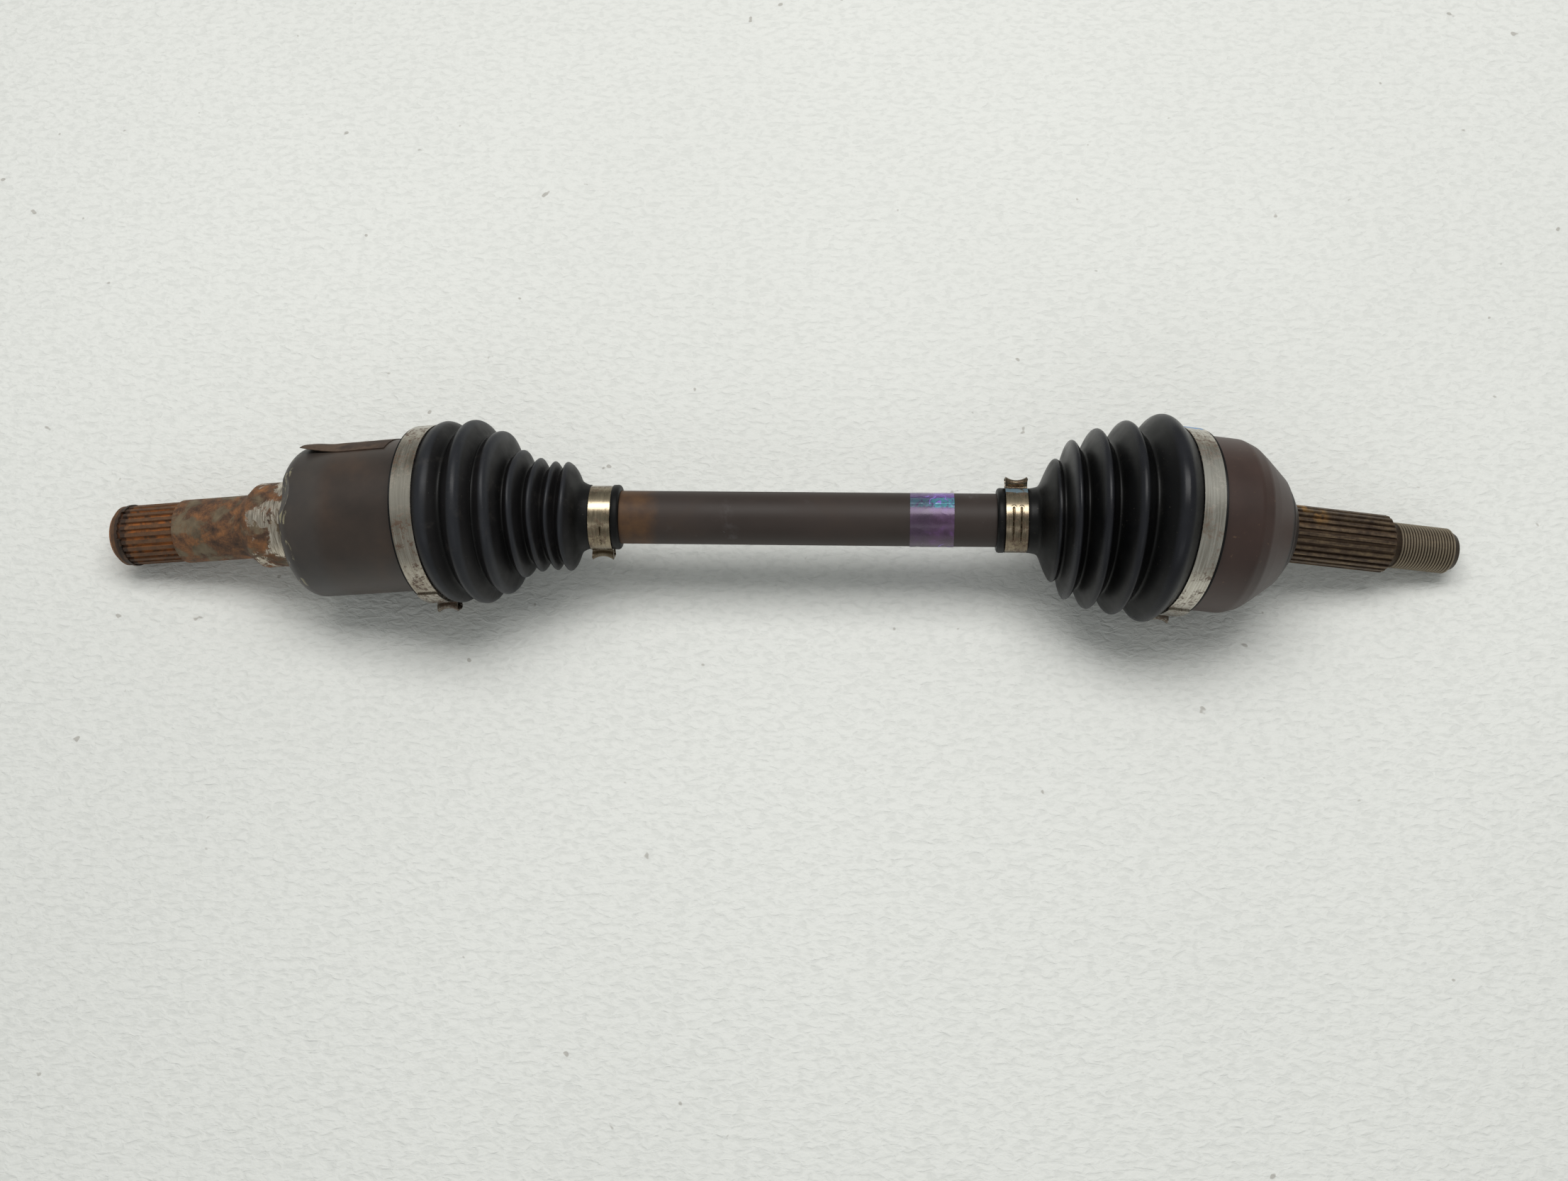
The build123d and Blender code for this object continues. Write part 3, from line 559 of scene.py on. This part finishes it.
def label_film():
    """Violet printed film with a teal band near the top and painted highlights on the creases."""
    p = Paint("shaft_label_film")
    x, turn, _ = around_axis(p, INNER_SHAFT_FRAME)
    front = p.calc("MULTIPLY", turn, -1.0)
    broad = p.noise(150.0, 5.0, 0.6, 0.4)
    colour = p.ramp(broad, (0.32, tone(66, 46, 66)), (0.55, tone(84, 58, 88)), (0.74, tone(112, 72, 132)))
    shine = p.fade(front, 0.4, -0.9)
    colour = p.mix(
        p.calc("MULTIPLY", shine, 0.75), colour,
        p.ramp(p.noise(420.0, 5.0, 0.66), (0.36, tone(92, 58, 138)), (0.68, tone(142, 104, 206))),
    )
    band = p.span(p.calc("ADD", front, p.calc("MULTIPLY", broad, 0.12)), -0.46, -0.05, 0.05)
    band = p.calc("MULTIPLY", band, p.fade(p.noise(600.0, 5.0, 0.66), 0.34, 0.56))
    colour = p.mix(p.calc("MULTIPLY", band, 0.85), colour, tone(70, 150, 160))
    dull = p.calc(
        "MULTIPLY", p.fade(p.calc("ADD", x, p.calc("MULTIPLY", broad, 0.004)), *LABEL_DULL), 0.6,
    )
    colour = p.mix(dull, colour, tone(66, 52, 70))
    # painted highlight along the creases
    crease = p.value("crease")
    colour = p.mix(p.calc("MULTIPLY", p.fade(crease, 0.62, 0.95), 0.8), colour, tone(158, 122, 236))
    rough = p.mid(p.fade(broad, 0.3, 0.7), 0.22, 0.40)
    return p.done(
        colour, rough, 0.25, p.bump(p.noise(900.0, 4.0, 0.6), 0.15, 0.08), Coat_Weight=0.3,
        Coat_Roughness=0.2,
    )


def tag_paper():
    p = Paint("housing_tag_paper")
    fibre = p.noise(1.0, 6.0, 0.66, 0.0, p.scaled(p.spot, (500.0, 1400.0, 1400.0)))
    stain = p.noise(70.0, 6.0, 0.6)
    colour = p.ramp(fibre, (0.34, tone(74, 60, 50)), (0.62, tone(98, 80, 66)), (0.80, tone(120, 100, 84)))
    colour = p.mix(p.fade(stain, 0.42, 0.66), colour, tone(62, 50, 44))
    return p.done(colour, 0.82, 0.0, p.bump(fibre, 0.35, 0.12), Specular_IOR_Level=0.3)


def ground_steel():
    """Ground and oiled bearing steel."""
    p = Paint("bearing_ground_steel")
    grind = p.noise(1.0, 4.0, 0.6, 0.0, p.scaled(p.spot, (2600.0, 500.0, 500.0)))
    oil = p.noise(60.0, 5.0, 0.6)
    colour = p.mix(p.fade(grind, 0.3, 0.7), tone(150, 152, 156), tone(206, 208, 212))
    colour = p.mix(p.calc("MULTIPLY", p.fade(oil, 0.52, 0.72), 0.35), colour, tone(110, 92, 62))
    return p.done(colour, p.mid(oil, 0.16, 0.34), 1.0, p.bump(grind, 0.08, 0.05))


def spring_steel():
    """Blackened spring wire with rust blooms."""
    p = Paint("spring_steel_blackened")
    patch = p.noise(320.0, 6.0, 0.68)
    colour = p.ramp(patch, (0.36, tone(34, 30, 28)), (0.55, tone(70, 56, 46)), (0.72, tone(128, 86, 52)))
    return p.done(colour, p.mid(patch, 0.36, 0.72), 0.6, p.bump(patch, 0.3, 0.12))


# ------------------------------------------------------------------ boots
def boot_path(start, start_dir, end, end_dir):
    """Ring centre and facing at a distance (mm) from the large clamp; straight beyond both ends."""
    length = (end - start).length / MM
    first = math.atan2(start_dir.z, start_dir.x)
    turn = math.atan2(end_dir.z, end_dir.x) - first
    turn -= 2 * math.pi * round(turn / (2 * math.pi))

    def ring(distance):
        if distance <= 0:
            return start + start_dir * (distance * MM), first
        if distance >= length:
            return end + end_dir * ((distance - length) * MM), first + turn
        t = distance / length
        spot = start * (2 * t**3 - 3 * t**2 + 1) + end * (3 * t**2 - 2 * t**3)
        spot += start_dir * (length * MM * (t**3 - 2 * t**2 + t))
        spot += end_dir * (length * MM * (t**3 - t**2))
        return spot, first + turn * t

    return ring, length


PROFILE_STEP = 0.45
PROFILE_EASE = 0.75  # spread of the rounding over keys, in mm
EASE_REACH = 8  # steps either way that the rounding takes in
CREST_SLOPE = 0.22
CREST_RISE = 0.25
BOOT_SIDES = 176
CUFF_LIP = 1.7
CUFF_LIP_RISE = 0.35


def ribbed_profile(crests, valleys, neck_run, length, cuff_r, lip_r):
    """Radius of the ribbed length every PROFILE_STEP: round-topped ridges with straight flanks."""
    keys = [(0.0, cuff_r), (length, lip_r), *valleys, *neck_run]
    for distance, radius, half in crests:
        keys += [(distance - half, radius - CREST_SLOPE * half), (distance, radius + CREST_RISE)]
        keys.append((distance + half, radius - CREST_SLOPE * half))
    keys = sorted(keys)
    distances = np.arange(0, length + PROFILE_STEP / 2, PROFILE_STEP)
    radii = np.interp(distances, *zip(*keys))
    window = np.exp(-0.5 * (np.arange(-EASE_REACH, EASE_REACH + 1) * PROFILE_STEP / PROFILE_EASE) ** 2)
    radii = np.convolve(np.pad(radii, EASE_REACH, mode="edge"), window / window.sum(), mode="valid")
    return distances, radii


def boot_shell(name, ring, skin, lining, heights, sway):
    """Closed shell from rings along a boot's path: out along the skin, back along the lining."""
    stations = list(skin) + list(lining)[::-1]
    shares = list(heights) + list(heights)[::-1]
    turns = np.arange(BOOT_SIDES) * 2 * math.pi / BOOT_SIDES
    vertices = []
    for (distance, radius), share in zip(stations, shares):
        centre, facing = ring(distance)
        ahead = np.array((math.cos(facing), 0, math.sin(facing)))
        up = np.array((-math.sin(facing), 0, math.cos(facing)))
        across = np.array((0, 1, 0))
        circle = np.outer(np.cos(turns), up) + np.outer(np.sin(turns), across)
        drift = sway * share * np.sin(3 * turns + 0.12 * distance)
        vertices.append(np.array(centre) + (circle * radius + np.outer(drift, ahead)) * MM)
    faces = grid_faces(len(stations), BOOT_SIDES, True, True)
    made = make_object(name, np.concatenate(vertices), faces, 50)
    add_value(made, "crest", np.repeat(shares, BOOT_SIDES))
    return made


def crest_share(distances, radii, crests, valleys):
    """0 in the valleys to 1 on the crests, for the painted shade in the grooves, the painted highlight on
    the crests and their lower roughness.
    """
    tops = np.interp(distances, *zip(*[(d, r) for d, r, _ in crests]))
    lows = np.interp(distances, *zip(*valleys))
    return np.clip((radii - lows) / (tops - lows), 0, 1)


def lined(stations, wall, least):
    """The lining under a skin: a wall's thickness in, but outside what the boot seats on."""
    return [(d, max(r - wall, least)) for d, r in stations]


def cuff_rings(far, cuff_r, lip_r, lip):
    """Large cuff from its open end to the clamp's inner edge, with a small raised lip at the end."""
    return [
        (far, cuff_r - 1.2),
        (far + 0.15, cuff_r - 0.4),
        (far + 0.5, lip_r),
        (far + lip - 0.3, lip_r),
        (far + lip, cuff_r),
        (-0.2, cuff_r),
    ]


def neck_rings(length, gap, cuff_r, lip_r):
    """Small cuff: lip beside the ribs, clamp seat, and raised end lip."""
    clamp_from = length + gap
    clamp_to = clamp_from + CLAMP_WIDTH
    end = clamp_to + LIP_PAST_CLAMP
    return [
        (length + 0.3, lip_r),
        (clamp_from - 0.35, lip_r),
        (clamp_from - 0.05, lip_r - 0.35),
        (clamp_from, cuff_r),
        (clamp_to, cuff_r),
        (clamp_to + 0.05, lip_r - 0.35),
        (clamp_to + 0.4, lip_r),
        (end - 1.4, lip_r + 0.1),
        (end - 0.5, lip_r - 0.25),
        (end - 0.05, lip_r - 1.0),
    ]


def make_boot(name, joint_centre, out, along, places, radii_set, ribs, sway, split=None):
    """The whole boot, or its housing and shaft halves if it is split at a valley.

    out points along the housing's axis and along points down the shaft, both from the joint
    centre. Places run along them: large clamp and open end on out, neck and small clamp on along.
    """
    clamp_at, cuff_end, neck_at, small_clamp_at = places
    cuff_r, seat_r, small_r, lip_r = radii_set
    crests, valleys, neck_run = ribs
    start, end = on_axis(joint_centre, out, clamp_at), on_axis(joint_centre, along, neck_at)
    ring, length = boot_path(start, -out, end, along)
    distances, radii = ribbed_profile(crests, valleys, neck_run, length, cuff_r, lip_r)
    middle = list(zip(distances, radii))
    heights = list(crest_share(distances, radii, crests, valleys))
    cuff = cuff_rings(clamp_at - cuff_end, cuff_r, cuff_r + CUFF_LIP_RISE, CUFF_LIP)
    neck = neck_rings(length, small_clamp_at - neck_at, small_r, lip_r)
    cuff_lining = [(d, seat_r + HAIR) for d, _ in cuff]
    neck_lining = [(d, SHAFT_R + HAIR) for d, _ in neck]
    rib_lining = lined(middle, BOOT_WALL, SHAFT_R + HAIR)
    if split is None:
        skin = cuff + middle + neck
        lining = cuff_lining + rib_lining + neck_lining
        shares = [0.0] * len(cuff) + heights + [0.0] * len(neck)
        return boot_shell(name, ring, skin, lining, shares, sway)
    cut = int(np.argmin(abs(distances - split)))
    housing_side = boot_shell(
        name + "_housing_side", ring, cuff + middle[: cut + 1], cuff_lining + rib_lining[: cut + 1],
        [0.0] * len(cuff) + heights[: cut + 1], sway,
    )
    shaft_side = boot_shell(
        name + "_shaft_side", ring, middle[cut:] + neck, rib_lining[cut:] + neck_lining,
        heights[cut:] + [0.0] * len(neck), sway,
    )
    return housing_side, shaft_side


# ------------------------------------------------------------------ strip clamps
EAR_SHAPE = [
    (-5.6, 0.0), (-4.0, 0.0), (-2.7, 0.4), (-2.2, 1.4), (-2.8, 3.0), (-3.2, 4.4), (-2.2, 5.6),
    (0.0, 5.4),
    (2.2, 5.6), (3.2, 4.4), (2.8, 3.0), (2.2, 1.4), (2.7, 0.4), (4.0, 0.0), (5.6, 0.0),
]
EAR_STEPS = 5
EAR_PINCH = 0.30
SLOT_DEPTH = 0.62
SLOT_EDGE = 0.12
SLOT_RIM = 0.30
SLOT_RIM_SPREAD = 0.42
EDGE_ROUND = 0.14


def clamp_strip(name, place, start, bore, ear_angle, lap, way, spacing, slots):
    """Strip wound once round a cuff: a lapped end, a pinched ear, then round under the lap."""
    middle = bore + CLAMP_BAND / 2
    columns = int(CLAMP_WIDTH / spacing) + 1
    foot = EAR_SHAPE[-1][0]
    lap_run = np.arange(-math.radians(lap) * middle, -foot, spacing)
    ring_run = np.arange(foot, 2 * math.pi * middle - foot, spacing)[1:]
    lines = []
    for across in np.linspace(-1, 1, columns):
        pinch = EAR_PINCH * (1 - across**2)
        ear = smooth_line([(t * (1 - 0.6 * pinch), h * (1 - pinch)) for t, h in EAR_SHAPE], EAR_STEPS)
        run = np.concatenate([lap_run, ear[:, 0], ring_run])
        height = np.concatenate([lap_run * 0, ear[:, 1], ring_run * 0])
        height += np.interp(run, (-foot, 0), (CLAMP_BAND + 0.05, 0))
        angle = run / middle * way
        reach = middle + height
        x = np.full_like(run, start + CLAMP_WIDTH * (across + 1) / 2)
        lines.append(np.stack([x, reach * np.sin(angle), reach * np.cos(angle)], 1))
    points = np.stack(lines, 1)
    runs = run[:, None]
    steps_x = np.linspace(0, CLAMP_WIDTH, columns)[None, :]
    lift = np.zeros(points.shape[:2])
    for slot_from, slot_to, slot_x, half_width in slots:
        spare = np.maximum(np.maximum(slot_from - runs, runs - slot_to), 0)
        gap = np.hypot(spare, steps_x - slot_x) - half_width
        lift += SLOT_RIM * np.exp(-((gap / SLOT_RIM_SPREAD) ** 2))
        lift -= SLOT_DEPTH * (1 - np.tanh(gap / (2 * SLOT_EDGE))) / 2
    normals = grid_normals(points, False)
    outward = np.sign((normals * (points * (0, 1, 1))).sum(2).mean())
    points = points + normals * (lift * outward)[:, :, None]
    a = math.radians(ear_angle)
    turn = np.array(((1, 0, 0), (0, math.cos(a), -math.sin(a)), (0, math.sin(a), math.cos(a))))
    made = plate(name, placed(points @ turn.T, place), CLAMP_BAND * MM, sharp_angle=50)
    bevel = made.modifiers.new("eased_edges", "BEVEL")
    bevel.width, bevel.segments = EDGE_ROUND * MM, 2
    bevel.limit_method, bevel.angle_limit = "ANGLE", math.radians(55)
    return made


# ------------------------------------------------------------------ label and tag
LABEL_FILM = 0.10
LABEL_GAP = 0.09
LABEL_RISE = 0.10  # of a crease, and of the lap
LABEL_LAP = (0.10, 0.17)  # half turns from the top


def make_label():
    """Film wound once round the shaft, creased, with a small lap near the top."""
    low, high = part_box("shaft_label")
    from_x, to_x = (low.x - INNER_CENTRE.x) / MM, (high.x - INNER_CENTRE.x) / MM
    rows, columns = 260, 64
    turns = np.arange(rows) * 2 * math.pi / rows
    stations = np.linspace(from_x, to_x, columns)
    points, creases = np.zeros((rows, columns, 3)), np.zeros((rows, columns))
    for i, turn in enumerate(turns):
        for j, x in enumerate(stations):
            at = Vector((x * 0.10, math.cos(turn) * 1.7, math.sin(turn) * 1.7))
            ridge = 1 - abs(noise.noise(at * 2.1 + Vector((3, 7, 1)))) * 3.2
            crease = max(0.0, ridge) ** 3 * max(0.0, noise.noise(at * 0.8) + 0.35)
            creases[i, j] = min(1.0, crease * 1.6)
            lap = LABEL_RISE if LABEL_LAP[0] < (turn / math.pi + 0.02) % 2 < LABEL_LAP[1] else 0.0
            reach = SHAFT_R + LABEL_GAP + LABEL_RISE * creases[i, j] + lap
            points[i, j] = (x, reach * math.sin(turn), reach * math.cos(turn))
    made = plate("shaft_label_wrap", placed(points, INNER_SHAFT_FRAME), LABEL_FILM * MM, wrap_rows=True)
    add_value(made, "crease", np.concatenate([creases.ravel(), creases.ravel()]))
    return made


TAG_FROM, TAG_TO = 2.0, 46.0
TAG_ANGLE, TAG_HALF_ANGLE = 62.0, 24.0
TAG_THICKNESS = 0.3
TAG_LIFT = 3.6


def make_tag():
    """Stiff paper stuck round the housing's far upper side, one corner sprung free."""
    rows, columns = 90, 56
    points = np.zeros((rows, columns, 3))
    for i in range(rows):
        for j in range(columns):
            u, v = i / (rows - 1), j / (columns - 1)
            turn = math.radians(TAG_ANGLE - TAG_HALF_ANGLE + 2 * TAG_HALF_ANGLE * u)
            x = TAG_FROM + (TAG_TO - TAG_FROM) * v
            corner = max(0.0, 1 - math.hypot((1 - v) * 2.2, u * 1.5))
            ripple = 0.12 * noise.noise(Vector((u * 5, v * 6, 2)))
            reach = TULIP_R + TAG_THICKNESS + ripple + TAG_LIFT * corner**1.4
            points[i, j] = (x - 1.5 * corner, -reach * math.sin(turn), reach * math.cos(turn))
    return plate("housing_paper_tag", placed(points, INNER_FRAME), TAG_THICKNESS * MM)


# ------------------------------------------------------------------ build the boots
housing_side, shaft_side = make_boot(
    "inner_boot", INNER_CENTRE, INNER_OUT, TO_WHEEL,
    (INNER_CLAMP_AT, INNER_CUFF_END, INNER_NECK_AT, INNER_SMALL_CLAMP_AT),
    (INNER_CUFF_R, TULIP_SEAT_R, INNER_SMALL_R, INNER_LIP_R),
    (INNER_CRESTS, INNER_VALLEYS, INNER_NECK_RUN), 0.55, INNER_SPLIT,
)
outer_boot = make_boot(
    "outer_boot_ribbed", OUTER_CENTRE, OUTER_OUT, -TO_WHEEL,
    (OUTER_CLAMP_AT, OUTER_CUFF_END, OUTER_NECK_AT, OUTER_SMALL_CLAMP_AT),
    (OUTER_CUFF_R, BELL_SEAT_R, OUTER_SMALL_R, OUTER_LIP_R),
    (OUTER_CRESTS, OUTER_VALLEYS, OUTER_NECK_RUN), 0.15,
)
inner_rubber = boot_rubber(
    "inner_boot_rubber", tone(17, 16, 17), tone(25, 24, 25), tone(46, 48, 53), 0.32, 0.44, 0.16,
)
outer_rubber = boot_rubber(
    "outer_boot_rubber", tone(5, 5, 6), tone(9, 9, 10), tone(38, 39, 44), 0.24, 0.34, 0.05,
)
dress(housing_side, inner_rubber)
dress(shaft_side, inner_rubber)
dress(outer_boot, outer_rubber)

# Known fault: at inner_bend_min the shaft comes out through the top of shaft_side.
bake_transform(shaft_side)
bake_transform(housing_side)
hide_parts("inner_boot")
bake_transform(outer_boot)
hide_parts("outer_boot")

# ------------------------------------------------------------------ clamps
# slots: from and to along the strip from the ear, place across it, half width
LARGE_SLOTS = [(-19.0, -10.5, 3.2, 0.9), (-19.0, -10.5, 7.1, 0.9)]
CLAMPS = [
    # name, CAD node, body, frame, start, cuff radius, ear angle, lap, way round, grid step, slots,
    # (material, dark, light, rust share, turn of the bright band, blue dab's turns and colour), slot
    (
        "inner_large_clamp_strip", "inner_boot_large_clamp", "inner_housing", INNER_FRAME, INNER_CLAMP_AT,
        INNER_CUFF_R, -120.0, 34.0, 1, 0.5, LARGE_SLOTS,
        ("inner_large_clamp_steel", tone(124, 112, 96), tone(186, 180, 168), 0.85, 0.15, None),
        "clamp_steel",
    ),
    (
        "outer_large_clamp_strip", "outer_boot_large_clamp", "outer_housing", OUTER_FRAME, OUTER_CLAMP_AT,
        OUTER_CUFF_R, 125.0, 34.0, -1, 0.5, LARGE_SLOTS,
        ("outer_large_clamp_steel", tone(130, 120, 104), tone(206, 202, 192), 0.7, 0.05,
         (0.95, 1.35, tone(110, 160, 214))),
        "clamp_steel",
    ),
    (
        "inner_small_clamp_strip", "inner_boot_small_clamp", "shaft",
        INNER_SHAFT_FRAME, INNER_SMALL_CLAMP_AT,
        INNER_SMALL_R, 125.0, 104.0, -1, 0.28, [(-21.5, -17.5, 5.6, 0.55), (-15.0, -12.2, 5.6, 0.7)],
        ("inner_small_clamp_bronze", tone(96, 84, 68), tone(158, 146, 124), 0.55, 0.1, None),
        "clamp_bronze",
    ),
    (
        "outer_small_clamp_strip", "outer_boot_small_clamp", "shaft",
        OUTER_SHAFT_FRAME, OUTER_SMALL_CLAMP_AT,
        OUTER_SMALL_R, 65.0, 150.0, -1, 0.28, [(-32.0, -17.0, 6.8, 0.6), (-32.0, -17.0, 3.2, 0.5)],
        ("outer_small_clamp_bronze", tone(88, 76, 62), tone(150, 138, 118), 0.55, -0.1,
         (-0.85, -0.6, tone(92, 122, 138))),
        "clamp_bronze",
    ),
]
for name, node, body, place, start, cuff_r, ear, lap, way, spacing, slots, look, slot in CLAMPS:
    strip = clamp_strip(name, place, start, cuff_r + HAIR, ear, lap, way, spacing, slots)
    look_name, dark, light, rust_share, bright, blue = look
    dress(strip, clamp_metal(look_name, place, ear, dark, light, rust_share, bright, blue))
    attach(strip, body)
    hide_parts(node)

label = dress(make_label(), label_film())
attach(label, "shaft")
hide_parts("shaft_label")
tag = dress(make_tag(), tag_paper())
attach(tag, "inner_housing")
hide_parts("housing_tag")

# ------------------------------------------------------------------ CAD nodes that stay
bearing, spring = ground_steel(), spring_steel()
NODE_LOOKS = [
    ("intermediate_shaft", shaft_paint()),
    ("inner_joint_housing", inner_housing_metal()),
    ("outer_joint_housing", outer_housing_metal()),
    ("tripod_spider", bearing),
    ("outer_inner_race", bearing),
    ("ball_cage", bearing),
    ("spider_circlip", spring),
    ("inner_race_circlip", spring),
    ("inner_stub_circlip", spring),
]
NODE_LOOKS += [(f"ball_{number}", bearing) for number in range(1, 7)]
for number in range(1, 4):
    NODE_LOOKS += [(f"tripod_roller_{number}", bearing), (f"roller_needles_{number}", bearing)]
    NODE_LOOKS.append((f"roller_retainer_{number}", spring))
for node, material in NODE_LOOKS:
    dress(frame["nodes"][node], material)


# ------------------------------------------------------------------ floor, light and camera
def floor_sheet():
    """Pale crepe sheet: fine wrinkles drawn out along x with painted shade in them, a few specks of dirt.
    """
    p = Paint("floor_pale_sheet")
    wrinkle = p.noise(1.0, 3.0, 0.5, 0.6, p.scaled(p.spot, (190.0, 360.0, 150.0)))
    grain = p.noise(420.0, 4.0, 0.6)
    colour = p.mix(p.fade(p.noise(2.2, 2.0), 0.3, 0.7), tone(238, 239, 235), tone(243, 244, 240))
    # painted shade along the wrinkle troughs
    colour = p.mix(p.calc("MULTIPLY", p.fade(wrinkle, 0.56, 0.34), 0.22), colour, tone(200, 202, 198))
    dirt = p.calc("MULTIPLY", p.fade(p.noise(95.0, 2.0, 0.5), 0.735, 0.765), 0.45)
    colour = p.mix(dirt, colour, tone(120, 108, 92))
    normal = p.bump(wrinkle, 0.8, 1.2)
    return p.done(colour, 0.62, 0.0, p.bump(grain, 0.15, 0.2, normal), Specular_IOR_Level=0.4)


FLOOR_HALF = 2.6
FLOOR_CELLS = 40


def make_floor():
    """The sheet that the axle lies on; a stage, not part of the object."""
    mesh = bpy.data.meshes.new("floor_sheet")
    work = bmesh.new()
    bmesh.ops.create_grid(work, x_segments=FLOOR_CELLS, y_segments=FLOOR_CELLS, size=FLOOR_HALF)
    work.to_mesh(mesh)
    work.free()
    made = bpy.data.objects.new("floor_sheet", mesh)
    bpy.context.scene.collection.objects.link(made)
    dress(made, floor_sheet())


def soft_light(name, place, target, width, depth, power, colour):
    """Rectangular area light in metres and watts, aimed at a point."""
    data = bpy.data.lights.new(name, "AREA")
    data.shape, data.size, data.size_y = "RECTANGLE", width, depth
    data.energy, data.color = power, colour
    lamp = bpy.data.objects.new(name, data)
    lamp.location = place
    lamp.rotation_euler = (Vector(target) - Vector(place)).to_track_quat("-Z", "Y").to_euler()
    bpy.context.scene.collection.objects.link(lamp)


make_floor()
soft_light("overhead_softbox", (0.05, 0.45, 1.5), (0, 0.02, 0), 1.5, 0.7, 16.5, (1.0, 0.99, 0.97))
soft_light("front_fill", (0.0, -1.3, 1.1), (0, 0, 0), 1.6, 0.5, 1.6, (0.95, 0.98, 1.0))
world = bpy.data.worlds.new("pale_room")
world.use_nodes = True
room = world.node_tree.nodes["Background"]
room.inputs["Color"].default_value = (0.92, 0.95, 0.93, 1)
room.inputs["Strength"].default_value = 0.34
bpy.context.scene.world = world
bpy.context.scene.view_settings.view_transform = "Standard"

CAMERA_AT = (51.55, -334.371, 851.566)
TILT, SWING, ROLL = (math.radians(a) for a in (20.462, 8.559, -7.402))
LENS = 42.126


def make_camera():
    """Camera looking down and a little away, tilted off the vertical, swung and rolled."""
    swing = Matrix.Rotation(SWING, 3, "Z")
    right = swing @ Vector((1, 0, 0))
    top = swing @ Vector((0, math.cos(TILT), math.sin(TILT)))
    look = swing @ Vector((0, math.sin(TILT), -math.cos(TILT)))
    across = math.cos(ROLL) * right + math.sin(ROLL) * top
    up = math.cos(ROLL) * top - math.sin(ROLL) * right
    data = bpy.data.cameras.new("photo_camera")
    data.lens, data.sensor_width, data.sensor_fit = LENS, 36.0, "HORIZONTAL"
    data.clip_start, data.clip_end = 0.01, 20.0
    camera = bpy.data.objects.new("photo_camera", data)
    place = Matrix((across, up, -look)).transposed().to_4x4()
    place.translation = Vector(CAMERA_AT) * MM
    camera.matrix_world = place
    bpy.context.scene.collection.objects.link(camera)
    bpy.context.scene.camera = camera


make_camera()
